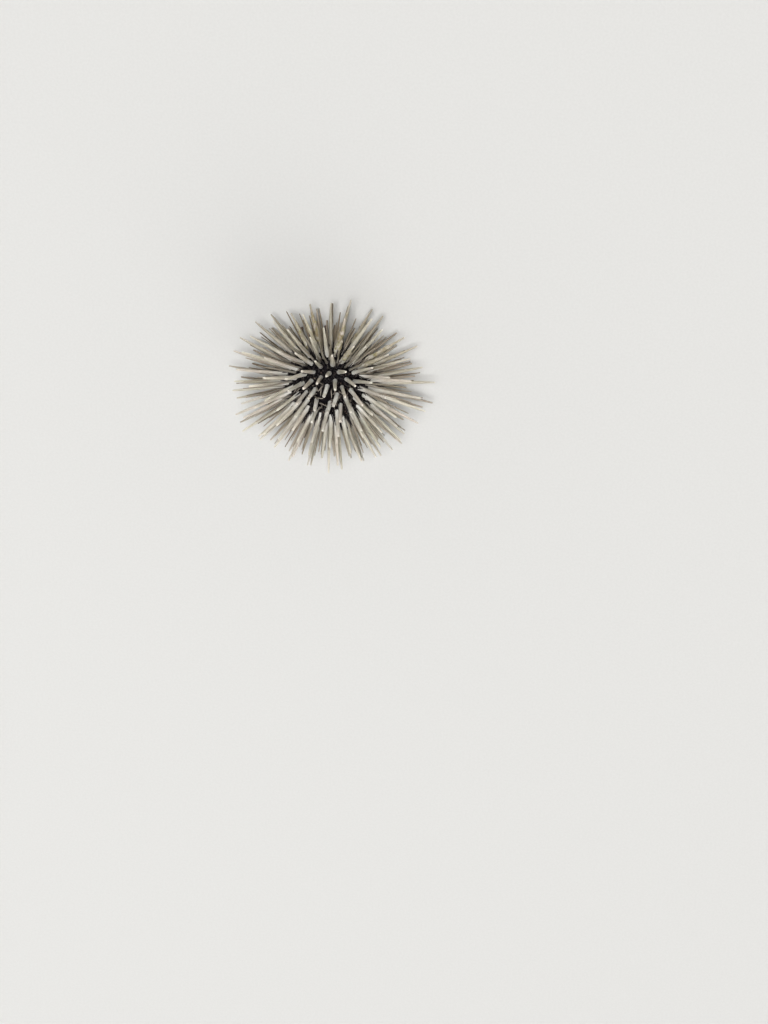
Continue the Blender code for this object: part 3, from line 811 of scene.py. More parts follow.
def podium_material():
    """Tube feet: translucent brown-violet stalks with paler suckers."""
    m = Shade("tube_feet", 0.42, 0.25)
    place = m.object_place()
    along = m.value("along")
    rings = m.noise(m.stretched(m.attribute("lp").outputs["Vector"], (0.3, 0.3, 5.5)), 1.0, 1.0)
    tint = m.mix(m.spread(m.noise(place, 900.0, 3.0), 0.35, 0.65), (0.022, 0.014, 0.017), (0.042, 0.026, 0.027))
    tint = m.mix(m.spread(rings, 0.42, 0.62, 0.0, 0.45), tint, (0.066, 0.042, 0.038))
    tint = m.mix(m.spread(along, 0.84, 0.93), tint, (0.150, 0.115, 0.098))
    m.colour(tint)
    m.bump(rings, 0.00012, 0.9)
    m.shader.inputs["Subsurface Weight"].default_value = 0.0
    return m.material


def plate_material():
    """Plates at the apex under thin dark skin, with paler grains where it has worn thin."""
    m = Shade("apical_plates", 0.50, 0.18)
    place = m.object_place()
    cloud = m.noise(place, 700.0, 4.0, 0.6)
    tint = m.mix(m.spread(cloud, 0.35, 0.70), (0.0090, 0.0075, 0.0095), (0.0190, 0.0150, 0.0170))
    tint = m.mix(m.math("MULTIPLY", m.value("ridge"), 0.6), tint, (0.060, 0.048, 0.047))
    # crease paints the pits, rims and sides near black: partly the dark openings of the pores and the anus, partly
    # painted shade on each plate's rim and down its sides between the plates.
    tint = m.mix(m.math("MULTIPLY", m.value("crease"), 0.9), tint, (0.0030, 0.0026, 0.0035))
    grain = m.voronoi(place, 5200.0)
    tint = m.mix(m.spread(grain, 0.38, 0.12, 0.0, 0.40), tint, (0.036, 0.029, 0.030))
    m.colour(tint)
    m.rough(m.spread(cloud, 0.3, 0.7, 0.42, 0.60))
    m.bump(m.math("MULTIPLY", grain, -1.0), 0.00007, 0.9)
    return m.material


def tooth_material():
    m = Shade("tooth_enamel", 0.26, 0.55)
    along = m.value("along")
    streak = m.noise(m.stretched(m.object_place(), (1.0, 1.0, 0.15)), 3200.0, 3.0)
    tint = m.mix(m.spread(streak, 0.3, 0.7), (0.70, 0.66, 0.57), (0.80, 0.78, 0.72))
    tint = m.mix(m.spread(along, 0.35, 0.0, 0.0, 0.75), tint, (0.28, 0.20, 0.15))
    m.colour(tint)
    m.bump(streak, 0.00003, 0.6)
    return m.material


# ---------------------------------------------------------------------------
# The long spines.
# ---------------------------------------------------------------------------


def spine_outline(base, tip, length, rings):
    """Heights above the shell, radii, and how strongly ribbed, from the socket to the point."""
    low = [
        (-0.55 * MM, 0.66, 0.0), (0.10 * MM, 0.74, 0.0), (0.26 * MM, 0.84, 0.0),
        (0.36 * MM, 0.99, 0.3), (0.50 * MM, 1.08, 0.9), (0.72 * MM, 1.12, 1.0),
        (0.94 * MM, 1.09, 0.6), (1.16 * MM, 1.04, 0.2), (1.55 * MM, 1.01, 0.5),
    ]
    small = min(1.0, base / (1.0 * MM))
    heights = [h * small for h, _, _ in low]
    radii = [base * r for _, r, _ in low]
    ribbed = [g for _, _, g in low]
    start = heights[-1] / length
    dome = (28.0, 54.0, 76.0)
    rest = rings - len(low) - len(dome)
    last = 1 - 0.85 * tip / length
    for k in range(1, rest + 1):
        # Steps get closer towards the point.
        x = k / rest
        t = start + (last - start) * (1 - (1 - x) ** 1.35)
        radius = float(spine_radius(base, tip, min(t, 1.0)))
        heights.append(t * length)
        radii.append(radius)
        ribbed.append(1.0 if t < 0.85 else max(0.25, (1 - t) / 0.15))
    for angle in dome:
        # The point is a small dome.
        heights.append(length * (1 - 0.85 * tip / length * (1 - math.sin(math.radians(angle)))))
        radii.append(radii[len(low) + rest - 1] * math.cos(math.radians(angle)))
        ribbed.append(0.15)
    return np.array(heights), np.array(radii), np.array(ribbed)


def grow_spine(pile, limb, cell, luck, film, lower_shade_paint, ribs, around=SPINE_AROUND):
    crusted = film > 0.12
    heights, radii, ribbed = spine_outline(
        limb["base"], limb["tip"], limb["length"], CRUSTED_RINGS if crusted else SPINE_RINGS
    )
    rings = len(heights)
    way = limb["way"]
    a, b = frames_of(way[None])
    a, b = a[0], b[0]
    angle = 2 * math.pi * np.arange(around) / around
    # Ribs run up the shaft, with one crest to every second side.
    wave = np.cos(ribs * angle)
    wave2 = np.cos((ribs / 3) * angle + luck[0] * 6.3)
    depth = 0.036 * ribbed[:, None] * wave + 0.012 * ribbed[:, None] * wave2
    # No spine is quite round or quite straight.
    oval = 0.018 * np.cos(2 * angle + luck[1] * 6.3)
    grown = 0.012 * hash_noise(
        np.stack(
            [
                np.repeat(heights / MM * 0.35, around),
                np.tile(np.cos(angle), rings) + luck[2] * 50,
                np.tile(np.sin(angle), rings) + luck[0] * 50,
            ],
            1,
        ),
        5,
    ).reshape(rings, around)
    share = heights / limb["length"]
    crust = np.zeros((rings, around))
    if crusted:
        # A thin lumpy crust on the shafts that the film covers, but not on the ring or the point.
        lumps = hash_noise(
            np.stack(
                [
                    np.repeat(heights / MM * 0.95, around) + luck[1] * 40,
                    np.tile(np.cos(angle) * 0.9, rings) + luck[0] * 50,
                    np.tile(np.sin(angle) * 0.9, rings) + luck[2] * 50,
                ],
                1,
            ),
            9,
        ).reshape(rings, around)
        reach = smoothstep(0.06, 0.16, share) * smoothstep(0.86, 0.60, share)
        crust = min(1.0, film * 1.5) * reach[:, None] * np.clip(lumps + 0.22, 0, 0.72) * 0.85 * MM
    radius = radii[:, None] * (1 + depth * (1 - 0.5 * min(1.0, film)) + oval + grown) + crust
    bow = np.sin(np.clip(share, 0, 1) * math.pi) * limb["length"] * 0.006
    lean = luck[2] * 6.3
    middle = (
        limb["point"][None]
        + way[None] * heights[:, None]
        + (a * math.cos(lean) + b * math.sin(lean))[None] * bow[:, None]
    )
    ring = np.cos(angle)[None, :, None] * a + np.sin(angle)[None, :, None] * b
    points = (middle[:, None] + ring * radius[:, :, None]).reshape(-1, 3)
    ends = np.stack([middle[0], limb["point"] + way * limb["length"]])
    points = np.concatenate([points, ends])
    points[:, 2] = np.maximum(points[:, 2], 0.0)
    local = np.stack(
        [
            (radii[:, None] * np.cos(angle)).ravel() / MM + luck[0] * 90,
            (radii[:, None] * np.sin(angle)).ravel() / MM + luck[1] * 90,
            np.repeat(heights / MM, around) + luck[2] * 90,
        ],
        1,
    )
    ends_local = np.array(
        [
            [luck[0] * 90, luck[1] * 90, heights[0] / MM + luck[2] * 90],
            [luck[0] * 90, luck[1] * 90, limb["length"] / MM + luck[2] * 90],
        ]
    )
    small = min(1.0, limb["base"] / (1.0 * MM))
    along = np.concatenate([np.repeat(share, around), [0, 1]])
    rise = np.concatenate([np.repeat(heights / MM / small, around), [-0.5, limb["length"] / MM]])
    groove = np.concatenate([(ribbed[:, None] * (0.5 - 0.5 * wave)).ravel(), [0, 0]])
    patch = film * np.sin(np.clip(np.repeat(share, around), 0, 1) * math.pi) ** 0.6
    patch = np.concatenate([np.clip(patch + crust.ravel() / MM * 0.9, 0, 1), [0, 0]])
    pile.add(
        points,
        tube_faces(rings, around),
        tube_corners(rings, around, cell),
        {
            "along": along,
            "rise": rise,
            "groove": groove,
            "film": patch,
            "lower_shade_paint": np.full(len(points), lower_shade_paint),
            "crown": np.full(len(points), float(np.interp(math.degrees(limb["place"]), (17, 26), (1.0, 0.0)))),
            "lp": np.concatenate([local, ends_local]),
            "luck": np.tile(luck, (len(points), 1)),
        },
    )


BANDS = (("aboral", 0, 34), ("upper", 34, 58), ("shoulder", 58, 80), ("ambitus", 80, 104), ("oral", 104, 180))


def long_spines():
    material = spine_material()
    chance = np.random.RandomState(SEED + 1)
    lucks = chance.uniform(0, 1, (len(primaries), 3))
    films = []
    for limb, luck in zip(primaries, lucks):
        # The film lies on the flank that faces +Y, above the widest level.
        facing = limb["way"][1] * 0.85 + limb["way"][0] * 0.15
        upper = 1.0 if 36 < math.degrees(limb["place"]) < 98 else 0.15
        films.append(upper * max(0.0, min(1.0, (facing - 0.40) * 3.0)) * max(0.0, 1.35 * luck[1] - 0.18))
    for name, first, last in BANDS:
        chosen = [k for k, m in enumerate(primaries) if first <= math.degrees(m["place"]) < last]
        pile = Pile()
        for k, cell in zip(chosen, cells(len(chosen), 3.4)):
            grow_spine(pile, primaries[k], cell, lucks[k], films[k], painted_lower_shade(primaries[k], lucks[k]), RIB_COUNT)
        pile.piece("spines_" + name, material, replaces=ZONE_NODES, slot="spined_test")
    return material


# How much painted shade a spine gets: none above the widest level, more low on the flanks and beneath, where the
# spines above shadow it.
def painted_lower_shade(limb, luck):
    return float(np.interp(math.degrees(limb["place"]), (82, 95, 108, 150), (0.0, 0.44, 0.82, 0.85))) * (0.6 + 0.6 * luck[0])


spine_look = long_spines()


# ---------------------------------------------------------------------------
# The skin over the test, from the apex down and in to the mouth.
# ---------------------------------------------------------------------------

SKIN_AROUND = 396
APEX_ROWS = 10
SHELL_ROWS = 186
MOUTH_ROWS = 34


def shell_points(turn, place):
    """on_shell for whole arrays: points and outward normals."""
    s, c = np.sin(place), np.cos(place)
    upper = c >= 0
    power = np.where(upper, DOME_POWER, UNDERSIDE_POWER)
    height = np.where(upper, TEST_RISE, TEST_DROP)
    out = np.abs(s) ** (2 / power)
    up = np.sign(c) * np.abs(c) ** (2 / power)
    x, y = np.cos(turn), np.sin(turn)
    points = np.stack(
        [TEST_HALF_LENGTH * out * x, TEST_HALF_WIDTH * out * y, AMBITUS_Z + height * up], -1
    )
    side = np.maximum(out, 1e-6) ** (power - 1)
    normals = np.stack(
        [
            side * x / TEST_HALF_LENGTH,
            side * y / TEST_HALF_WIDTH,
            np.sign(c) * np.abs(up) ** (power - 1) / height,
        ],
        -1,
    )
    return points, normals / np.linalg.norm(normals, axis=-1, keepdims=True)


def edge_places(turn):
    """Where the shell meets the disc of plates at the top, and the mouth's field below."""
    places = np.linspace(0, math.pi, 1441)
    disc, mouth = [], []
    for t in turn:
        points, _ = shell_points(np.full(places.shape, t), places)
        reach = np.hypot(points[:, 0], points[:, 1])
        wide = np.hypot(points[:, 0], points[:, 1] / MOUTH_SQUASH)
        disc.append(places[np.argmax(reach >= DISC_RADIUS)])
        below = places > math.pi / 2
        mouth.append(places[below][np.argmax(wide[below] <= MOUTH_RADIUS)])
    return np.array(disc), np.array(mouth)


def mouth_line(t):
    """Radius and height of the mouth's field, from its edge (0) over the lip and into the throat (1)."""
    knots = (0.0, 0.05, 0.12, 0.30, 0.50, 0.64, 0.72, 0.80, 0.88, 1.0)
    radii = (8.60, 8.35, 8.00, 6.60, 4.90, 3.55, 2.90, 2.42, 2.16, 2.00)
    heights = (0.0, 0.26, 0.20, -0.22, -0.62, -0.98, -1.06, -0.96, -0.50, 0.95)
    return np.interp(t, knots, radii) * MM, UNDERSIDE + np.interp(t, knots, heights) * MM


def small_spots(chance, gap_from_long, gap_between, tries, taken, room_taken, reach=(14.0, 157.0), beside=()):
    """Free places between the long spines, found by trying seeded ones and keeping those with room."""
    long_points = np.array([m["point"] for m in primaries + list(beside)])
    long_radii = np.array([m["base"] for m in primaries + list(beside)])
    turn = chance.uniform(0, 2 * math.pi, tries)
    place = np.arccos(
        chance.uniform(math.cos(math.radians(reach[1])), math.cos(math.radians(reach[0])), tries)
    )
    points, _ = shell_points(turn, place)
    far = np.linalg.norm(points[:, None] - long_points[None], axis=2)
    free = (far > long_radii[None] + gap_from_long).all(1)
    feet_points = np.array([m["point"] for m in holding_feet])
    free &= (np.linalg.norm(points[:, None] - feet_points[None], axis=2) > 0.75 * MM).all(1)
    free &= np.hypot(points[:, 0], points[:, 1]) > DISC_RADIUS + 0.35 * MM
    below = place > math.pi / 2
    free &= ~below | (np.hypot(points[:, 0], points[:, 1] / MOUTH_SQUASH) > MOUTH_RADIUS + 0.35 * MM)
    kept = []
    held = np.empty((len(taken) + int(free.sum()), 3))
    rooms = np.zeros(len(held))
    count = len(taken)
    if count:
        held[:count], rooms[:count] = taken, room_taken
    for k in np.nonzero(free)[0]:
        apart = held[:count] - points[k]
        if count and ((apart * apart).sum(1) < (gap_between + rooms[:count]) ** 2).any():
            continue
        held[count] = points[k]
        count += 1
        kept.append((float(turn[k]), float(place[k])))
    return kept


def lean_clear(roots, ways, lengths, base, tip, gap, rounds=40, beside=(), reach=0.016):
    """Turns small limbs until they clear the long spines, and shortens those that can't."""
    others = primaries + holding_feet + list(beside)
    q = np.array([m["point"] for m in others])
    e = np.array([m["way"] * m["length"] for m in others])
    other_base = np.array([m["base"] for m in others])
    other_tip = np.array([m["tip"] for m in others])
    foot = np.array([m["kind"] == "foot" for m in others])
    ways, lengths = ways.copy(), lengths.copy()
    near = np.linalg.norm(roots[:, None] - q[None], axis=2) < reach
    one, two = np.nonzero(near)
    for step in range(rounds):
        d = ways[one] * lengths[one, None]
        s, t = closest(roots[one], d, q[two], e[two])
        apart = roots[one] + d * s[:, None] - q[two] - e[two] * t[:, None]
        far = np.linalg.norm(apart, axis=1)
        need = (
            spine_radius(base[one], tip[one], s)
            + limb_radius(other_base[two], other_tip[two], t, foot[two])
            + gap
        )
        short = need - far
        bad = short > 0
        if not bad.any():
            break
        push = apart[bad] / np.maximum(far[bad], 1e-7)[:, None]
        move = np.zeros_like(ways)
        arm = np.maximum(s[bad], 0.35) * lengths[one[bad]]
        np.add.at(move, one[bad], push * (0.8 * short[bad] / arm)[:, None])
        size = np.linalg.norm(move, axis=1, keepdims=True)
        move *= np.minimum(1.0, 0.35 / np.maximum(size, 1e-9))
        ways = ways + move
        ways /= np.linalg.norm(ways, axis=1)[:, None]
        if step > rounds * 0.5:
            worst = np.zeros(len(roots))
            np.maximum.at(worst, one[bad], short[bad])
            lengths *= np.where(worst > 0.05 * MM, 0.93, 1.0)
    d = ways[one] * lengths[one, None]
    s, t = closest(roots[one], d, q[two], e[two])
    apart = roots[one] + d * s[:, None] - q[two] - e[two] * t[:, None]
    short = (
        spine_radius(base[one], tip[one], s)
        + limb_radius(other_base[two], other_tip[two], t, foot[two])
        - np.linalg.norm(apart, axis=1)
    )
    worst = np.full(len(roots), -1.0)
    np.maximum.at(worst, one, short)
    return ways, lengths, worst < 0.02 * MM


def medium_spines():
    """Slender spines half as thick as the long ones, which fill the gaps round the widest part."""
    chance = np.random.RandomState(SEED + 6)
    spots = small_spots(chance, 0.80 * MM, 2.1 * MM, 9000, [], [], (52.0, 116.0))
    spots = np.array(spots)
    points, normals = shell_points(spots[:, 0], spots[:, 1])
    base = chance.uniform(0.48, 0.60, len(points)) * MM
    tip = np.full(len(points), 0.20 * MM)
    lean = np.array([math.radians(at_place(SPINE_LEAN_DEG, p)) for p in spots[:, 1]])
    outward = np.arctan2(points[:, 1], points[:, 0])
    square = np.arctan2(normals[:, 1], normals[:, 0])
    turned = np.arctan2(np.sin(outward) + np.sin(square), np.cos(outward) + np.cos(square))
    lean = lean + chance.normal(0, 0.05, len(points))
    turned = turned + chance.normal(0, 0.05, len(points))
    ways = np.stack([np.sin(lean) * np.cos(turned), np.sin(lean) * np.sin(turned), np.cos(lean)], 1)
    side = 1 - (1 - SIDE_LENGTH_SHARE) * np.sin(spots[:, 0]) ** 2
    lengths = np.array([at_place(SPINE_LENGTH_MM, p) for p in spots[:, 1]]) * side * MM
    lengths *= chance.uniform(0.62, 0.88, len(points))
    steep = points[:, 2] + lengths * ways[:, 2] < 1.5 * MM
    lengths = np.where(steep, (points[:, 2] - 1.5 * MM) / np.maximum(-ways[:, 2], 1e-3), lengths)
    ways, lengths, clear = lean_clear(points, ways, lengths, base, tip, 0.12 * MM, 90, (), 0.030)
    clear &= lengths > 9 * MM
    made = []
    for k in np.nonzero(clear)[0]:
        limb = dict(
            kind="spine", point=points[k], normal=normals[k], way=ways[k], length=float(lengths[k]),
            base=float(base[k]), tip=float(tip[k]), place=float(spots[k, 1]), turn=float(spots[k, 0]),
        )
        # Of two that cross, the later one is left out.
        if made:
            q = np.array([m["point"] for m in made])
            e = np.array([m["way"] * m["length"] for m in made])
            d = np.broadcast_to(limb["way"] * limb["length"], q.shape)
            s, t = closest(np.broadcast_to(limb["point"], q.shape), d, q, e)
            far = np.linalg.norm(limb["point"] + d * s[:, None] - q - e * t[:, None], axis=1)
            need = spine_radius(limb["base"], limb["tip"], s) + spine_radius(0.56 * MM, 0.20 * MM, t)
            if (far < need).any():
                continue
        made.append(limb)
    lucks = chance.uniform(0, 1, (len(made), 3))
    pile = Pile()
    for limb, luck, cell in zip(made, lucks, cells(len(made), 5.0)):
        # The medium spines get painted shade on top of that of their place, so that they darken the gaps they fill as
        # shade would.
        grow_spine(pile, limb, cell, luck, 0.0, min(0.94, painted_lower_shade(limb, luck) + 0.60), 10, 20)
    pile.piece("medium_spines", spine_look, replaces=ZONE_NODES, slot="spined_test")
    return made


mediums = medium_spines()
print("medium spines", len(mediums))
small_chance = np.random.RandomState(SEED + 7)
secondary_spots = small_spots(small_chance, 0.42 * MM, 1.25 * MM, 16000, [], [], beside=mediums)
secondary_points = [shell_points(np.array([t]), np.array([p]))[0][0] for t, p in secondary_spots]
miliary_spots = small_spots(
    small_chance, 0.22 * MM, 0.62 * MM, 26000, secondary_points, [0.05 * MM] * len(secondary_points),
    beside=mediums,
)
miliary_points = [shell_points(np.array([t]), np.array([p]))[0][0] for t, p in miliary_spots]


def foot_pores():
    """Places of the pore pairs, in arcs along both edges of every ambulacrum."""
    pores = []
    for kind, number, middle in zones():
        if kind != "ambulacrum":
            continue
        for sign in (-1, 1):
            for row in range(64):
                place = math.radians(14.5 + 2.2 * row)
                arc = (row % 5) / 4.0
                turn = math.radians(middle + sign * (9.9 + 2.4 * arc))
                pores.append((turn, place))
    return pores


def nearest(points, spots):
    """Distance from each point to the nearest spot, and which spot that is."""
    tree = KDTree(len(spots))
    for k, spot in enumerate(spots):
        tree.insert(spot, k)
    tree.balance()
    far, which = np.empty(len(points)), np.empty(len(points), int)
    for k, point in enumerate(points):
        _, which[k], far[k] = tree.find(point)
    return far, which


def sunk(points, spots, radius, deep, ring=0.0):
    """Height change at each point from a soft pit or bump at the nearest spot."""
    near = nearest(points, spots)[0] / radius
    total = deep * np.exp(-(near**2) * 2.2)
    if ring:
        total += ring * np.exp(-(((near - 1.25) / 0.33) ** 2))
    return total


def test_skin():
    around = SKIN_AROUND
    turns = 2 * math.pi * np.arange(around) / around
    disc_edge, mouth_edge = edge_places(turns)
    rows = []
    for k in range(APEX_ROWS):
        rows.append(disc_edge * (k + 0.4) / APEX_ROWS)
    for k in range(SHELL_ROWS + 1):
        rows.append(disc_edge + (mouth_edge - disc_edge) * k / SHELL_ROWS)
    places = np.array(rows)
    turn = np.broadcast_to(turns, places.shape)
    points, normals = shell_points(turn.ravel(), places.ravel())
    # Under the plates at the top the skin lies lower.
    reach = np.hypot(points[:, 0], points[:, 1])
    upper = points[:, 2] > AMBITUS_Z
    points = points - normals * SKIN_DEPTH
    dip = np.where(upper, 0.55 * MM * smoothstep(DISC_RADIUS + 0.25 * MM, DISC_RADIUS - 0.2 * MM, reach), 0)

    # Bosses under the long spines, each in its sunken ring; small bosses; pore pairs.
    change = np.zeros(len(points))
    ridge = np.zeros(len(points))
    crease = np.zeros(len(points))
    long_points = np.array([m["point"] for m in primaries + mediums])
    long_radii = np.array([m["base"] for m in primaries + mediums])
    far, which = nearest(points, long_points)
    near = far / long_radii[which]
    change += 0.30 * MM * smoothstep(1.30, 0.80, near)
    change -= 0.16 * MM * np.exp(-(((near - 1.62) / 0.20) ** 2))
    ridge = 0.5 * np.exp(-(((near - 1.95) / 0.18) ** 2))
    # The sunken ring round each boss is marked for painted shade.
    crease = 0.8 * np.exp(-(((near - 1.55) / 0.20) ** 2))
    bumps = sunk(points, secondary_points, 0.50 * MM, 0.20 * MM)
    ridge = np.maximum(ridge, bumps / (0.20 * MM) * 0.8)
    grains = sunk(points, miliary_points, 0.28 * MM, 0.09 * MM)
    ridge = np.maximum(ridge, grains / (0.09 * MM) * 0.6)
    pores = shell_points(*np.array(foot_pores()).T)[0]
    pits = sunk(points, pores, 0.26 * MM, -0.13 * MM, 0.05 * MM)
    crease = np.maximum(crease, np.clip(-pits / (0.13 * MM), 0, 1))
    change += bumps + grains + pits

    # The joints of the plates: zigzags down the middle of each zone, and steps across it.
    degrees = np.degrees(turn.ravel())
    down = np.degrees(places.ravel())
    for kind, number, middle in zones():
        half = AMBULACRUM_HALF_DEG if kind == "ambulacrum" else 36 - AMBULACRUM_HALF_DEG
        off = (degrees - middle + 180) % 360 - 180
        inside = np.abs(off) <= half
        step = 7.2 if kind == "interambulacrum" else 4.4
        zig = 1.1 * (2 * np.abs((down / step) % 1 - 0.5) - 0.5) * 2
        middle_joint = np.exp(-(((off - zig) / 0.42) ** 2))
        cross = np.abs(((down + np.where(off > 0, step / 2, 0)) / step) % 1 - 0.5)
        across = np.exp(-((cross * step / 0.42) ** 2)) * 0.8
        edge = np.exp(-(((np.abs(off) - half) / 0.5) ** 2))
        joint = np.where(inside, np.maximum(np.maximum(middle_joint, across), edge), 0)
        joint *= smoothstep(DISC_RADIUS, DISC_RADIUS + 2.5 * MM, reach)
        change -= joint * 0.055 * MM
        crease = np.maximum(crease, joint * 0.5)
    rough = hash_noise(points * 1400, 11) * 0.6 + hash_noise(points * 3100, 12) * 0.4
    change += rough * 0.035 * MM
    points = points + normals * change[:, None]
    points[:, 2] -= dip

    # From the mouth's edge the same skin runs on over the soft field and into the throat.
    field, field_ridge, field_crease = [], [], []
    for k in range(1, MOUTH_ROWS + 1):
        t = k / MOUTH_ROWS
        radius, height = mouth_line(t)
        loop = np.stack(
            [radius * np.cos(turns), radius * np.sin(turns) * (MOUTH_SQUASH + (1 - MOUTH_SQUASH) * t), np.full(around, height)], 1
        )
        folds = np.cos(40 * turns + 1.5 * np.sin(5 * turns)) * 0.10 * MM * math.sin(math.pi * min(1, t * 1.15)) ** 0.7
        scales = hash_noise(np.stack([np.cos(turns) * 9, np.sin(turns) * 9, np.full(around, t * 9)], 1), 21)
        lobes = 0.16 * MM * np.cos(5 * (turns - math.radians(FIRST_AMBULACRUM_DEG + 36))) * smoothstep(0.45, 0.8, t)
        loop[:, 2] += folds + scales * 0.08 * MM - lobes
        field.append(loop)
        field_ridge.append(np.clip(folds / (0.10 * MM) * 0.35 + 0.25 + 0.25 * smoothstep(0.6, 0.8, t), 0, 1))
        # The hollows between the folds are marked for painted shade.
        field_crease.append(np.clip(-folds / (0.10 * MM) * 0.35, 0, 1))
    shell_edge = points[-around:]
    for k in range(3):
        # No step where the two meet.
        share = (k + 1) / 4
        field[k] = shell_edge * (1 - share) + field[k] * share
    points = np.concatenate([points] + field)
    ridge = np.concatenate([ridge] + field_ridge)
    crease = np.concatenate([crease] + field_crease)

    # The skin is closed over the apex with a fan, and over the throat with another.
    total_rows = len(points) // around
    top = np.array([[0, 0, points[:around, 2].mean()]])
    throat = np.array([[0, 0, points[-around:, 2].mean() + 0.15 * MM]])
    points = np.concatenate([points, top, throat])
    ridge = np.concatenate([ridge, [0, 0]])
    # The throat's middle point gets full painted shade.
    crease = np.concatenate([crease, [0, 1]])
    i, j = np.meshgrid(np.arange(total_rows - 1), np.arange(around), indexing="ij")
    n = (j + 1) % around
    wall = np.stack([i * around + j, (i + 1) * around + j, (i + 1) * around + n, i * around + n], -1)
    k = np.arange(around)
    n = (k + 1) % around
    first = total_rows * around
    last = (total_rows - 1) * around
    cap = np.stack([np.full(around, first), k, n], -1)
    end = np.stack([last + k, np.full(around, first + 1), last + n], -1)

    def spot(row, column):
        return np.stack([column / around, 1 - (row + 1) / (total_rows + 1)], -1)

    wall_uv = np.stack([spot(i, j), spot(i + 1, j), spot(i + 1, j + 1), spot(i, j + 1)], -2)
    cap_uv = np.stack([spot(k * 0 - 1, k + 0.5), spot(k * 0, k), spot(k * 0, k + 1)], -2)
    end_uv = np.stack(
        [spot(k * 0 + total_rows - 1, k), spot(k * 0 + total_rows, k + 0.5), spot(k * 0 + total_rows - 1, k + 1)], -2
    )
    pile = Pile()
    pile.add(
        points,
        [wall.reshape(-1, 4), cap, end],
        [wall_uv.reshape(-1, 4, 2), cap_uv, end_uv],
        {"ridge": ridge, "crease": crease},
    )
    material = skin_material("test_skin", SKIN_BLACK, SKIN_PURPLE, SKIN_BROWN, 0.40)
    pile.piece("test_skin", material, replaces=ZONE_NODES + ["peristome"], slot="dark_skin")
    return material


skin_look = test_skin()


def muscle_sleeves():
    """The dark sleeve of muscle and skin that joins each long spine to its boss."""
    around, rings = 28, 8
    pile = Pile()
    angle = 2 * math.pi * np.arange(around) / around
    for number, m in enumerate(primaries + mediums):
        small = min(1.0, m["base"] / (1.0 * MM))
        levels = np.linspace(0, 1, rings)
        points = []
        ridge, crease = [], []
        a, b = (v[0] for v in frames_of(m["way"][None]))
        p, q = (v[0] for v in frames_of(m["normal"][None]))
        # The two circles' starts are brought into line, so the sleeve doesn't twist.
        turned = math.atan2(np.dot(a, q), np.dot(a, p))
        for t in levels:
            low = m["base"] * (1.62 - 0.0 * t)
            high = m["base"] * 0.80
            share = t ** 0.62
            radius = low + (high - low) * share
            axis = m["normal"] * (1 - t) + m["way"] * t
            centre = m["point"] - m["normal"] * 0.42 * MM * (1 - t) + axis * t * 0.36 * MM * small
            on_shell_ring = np.cos(angle + turned)[:, None] * p + np.sin(angle + turned)[:, None] * q
            on_spine_ring = np.cos(angle)[:, None] * a + np.sin(angle)[:, None] * b
            ring = on_shell_ring * (1 - t) + on_spine_ring * t
            ring /= np.linalg.norm(ring, axis=1)[:, None]
            creased = 1 + 0.022 * np.cos(14 * angle + number) * math.sin(math.pi * t)
            points.append(centre + ring * (radius * creased)[:, None])
            ridge.append(np.full(around, 0.15 + 0.25 * max(0.0, t - 0.75) * 4))
            # The hollows between the sleeve's creases are marked for painted shade.
            crease.append(0.35 * (0.5 - 0.5 * np.cos(14 * angle + number)) * math.sin(math.pi * t))
        points = np.concatenate(points)
        i, j = np.meshgrid(np.arange(rings - 1), np.arange(around), indexing="ij")
        n = (j + 1) % around
        wall = np.stack([i * around + j, i * around + n, (i + 1) * around + n, (i + 1) * around + j], -1)
        # A lid inside the spine and a floor under the skin close it.
        k = np.arange(around)
        n = (k + 1) % around
        lid = np.stack([(rings - 1) * around + k, (rings - 1) * around + n, np.full(around, rings * around)], -1)
        floor = np.stack([np.full(around, rings * around + 1), n, k], -1)
        points = np.concatenate(
            [points, points[(rings - 1) * around:].mean(0)[None], points[:around].mean(0)[None]]
        )
        u, v = skin_spot(m["turn"], m["place"])
        size = 0.014

        def corners(faces):
            ring_share = np.where(faces >= rings * around, 0.5, (faces // around) / rings)
            turn_share = (faces % around) / around
            reach = size * (1 - 0.8 * ring_share) * 0.5
            return np.stack(
                [u + reach * np.cos(2 * math.pi * turn_share), v + reach * np.sin(2 * math.pi * turn_share)], -1
            )

        pile.add(
            points,
            [wall.reshape(-1, 4), lid, floor],
            [corners(wall.reshape(-1, 4)), corners(lid), corners(floor)],
            {"ridge": np.concatenate(ridge + [[0, 0]]), "crease": np.concatenate(crease + [[0, 0]])},
        )
    pile.piece("muscle_sleeves", skin_look, replaces=ZONE_NODES, slot="dark_skin")


muscle_sleeves()


# ---------------------------------------------------------------------------
# What grows between the long spines.
# ---------------------------------------------------------------------------


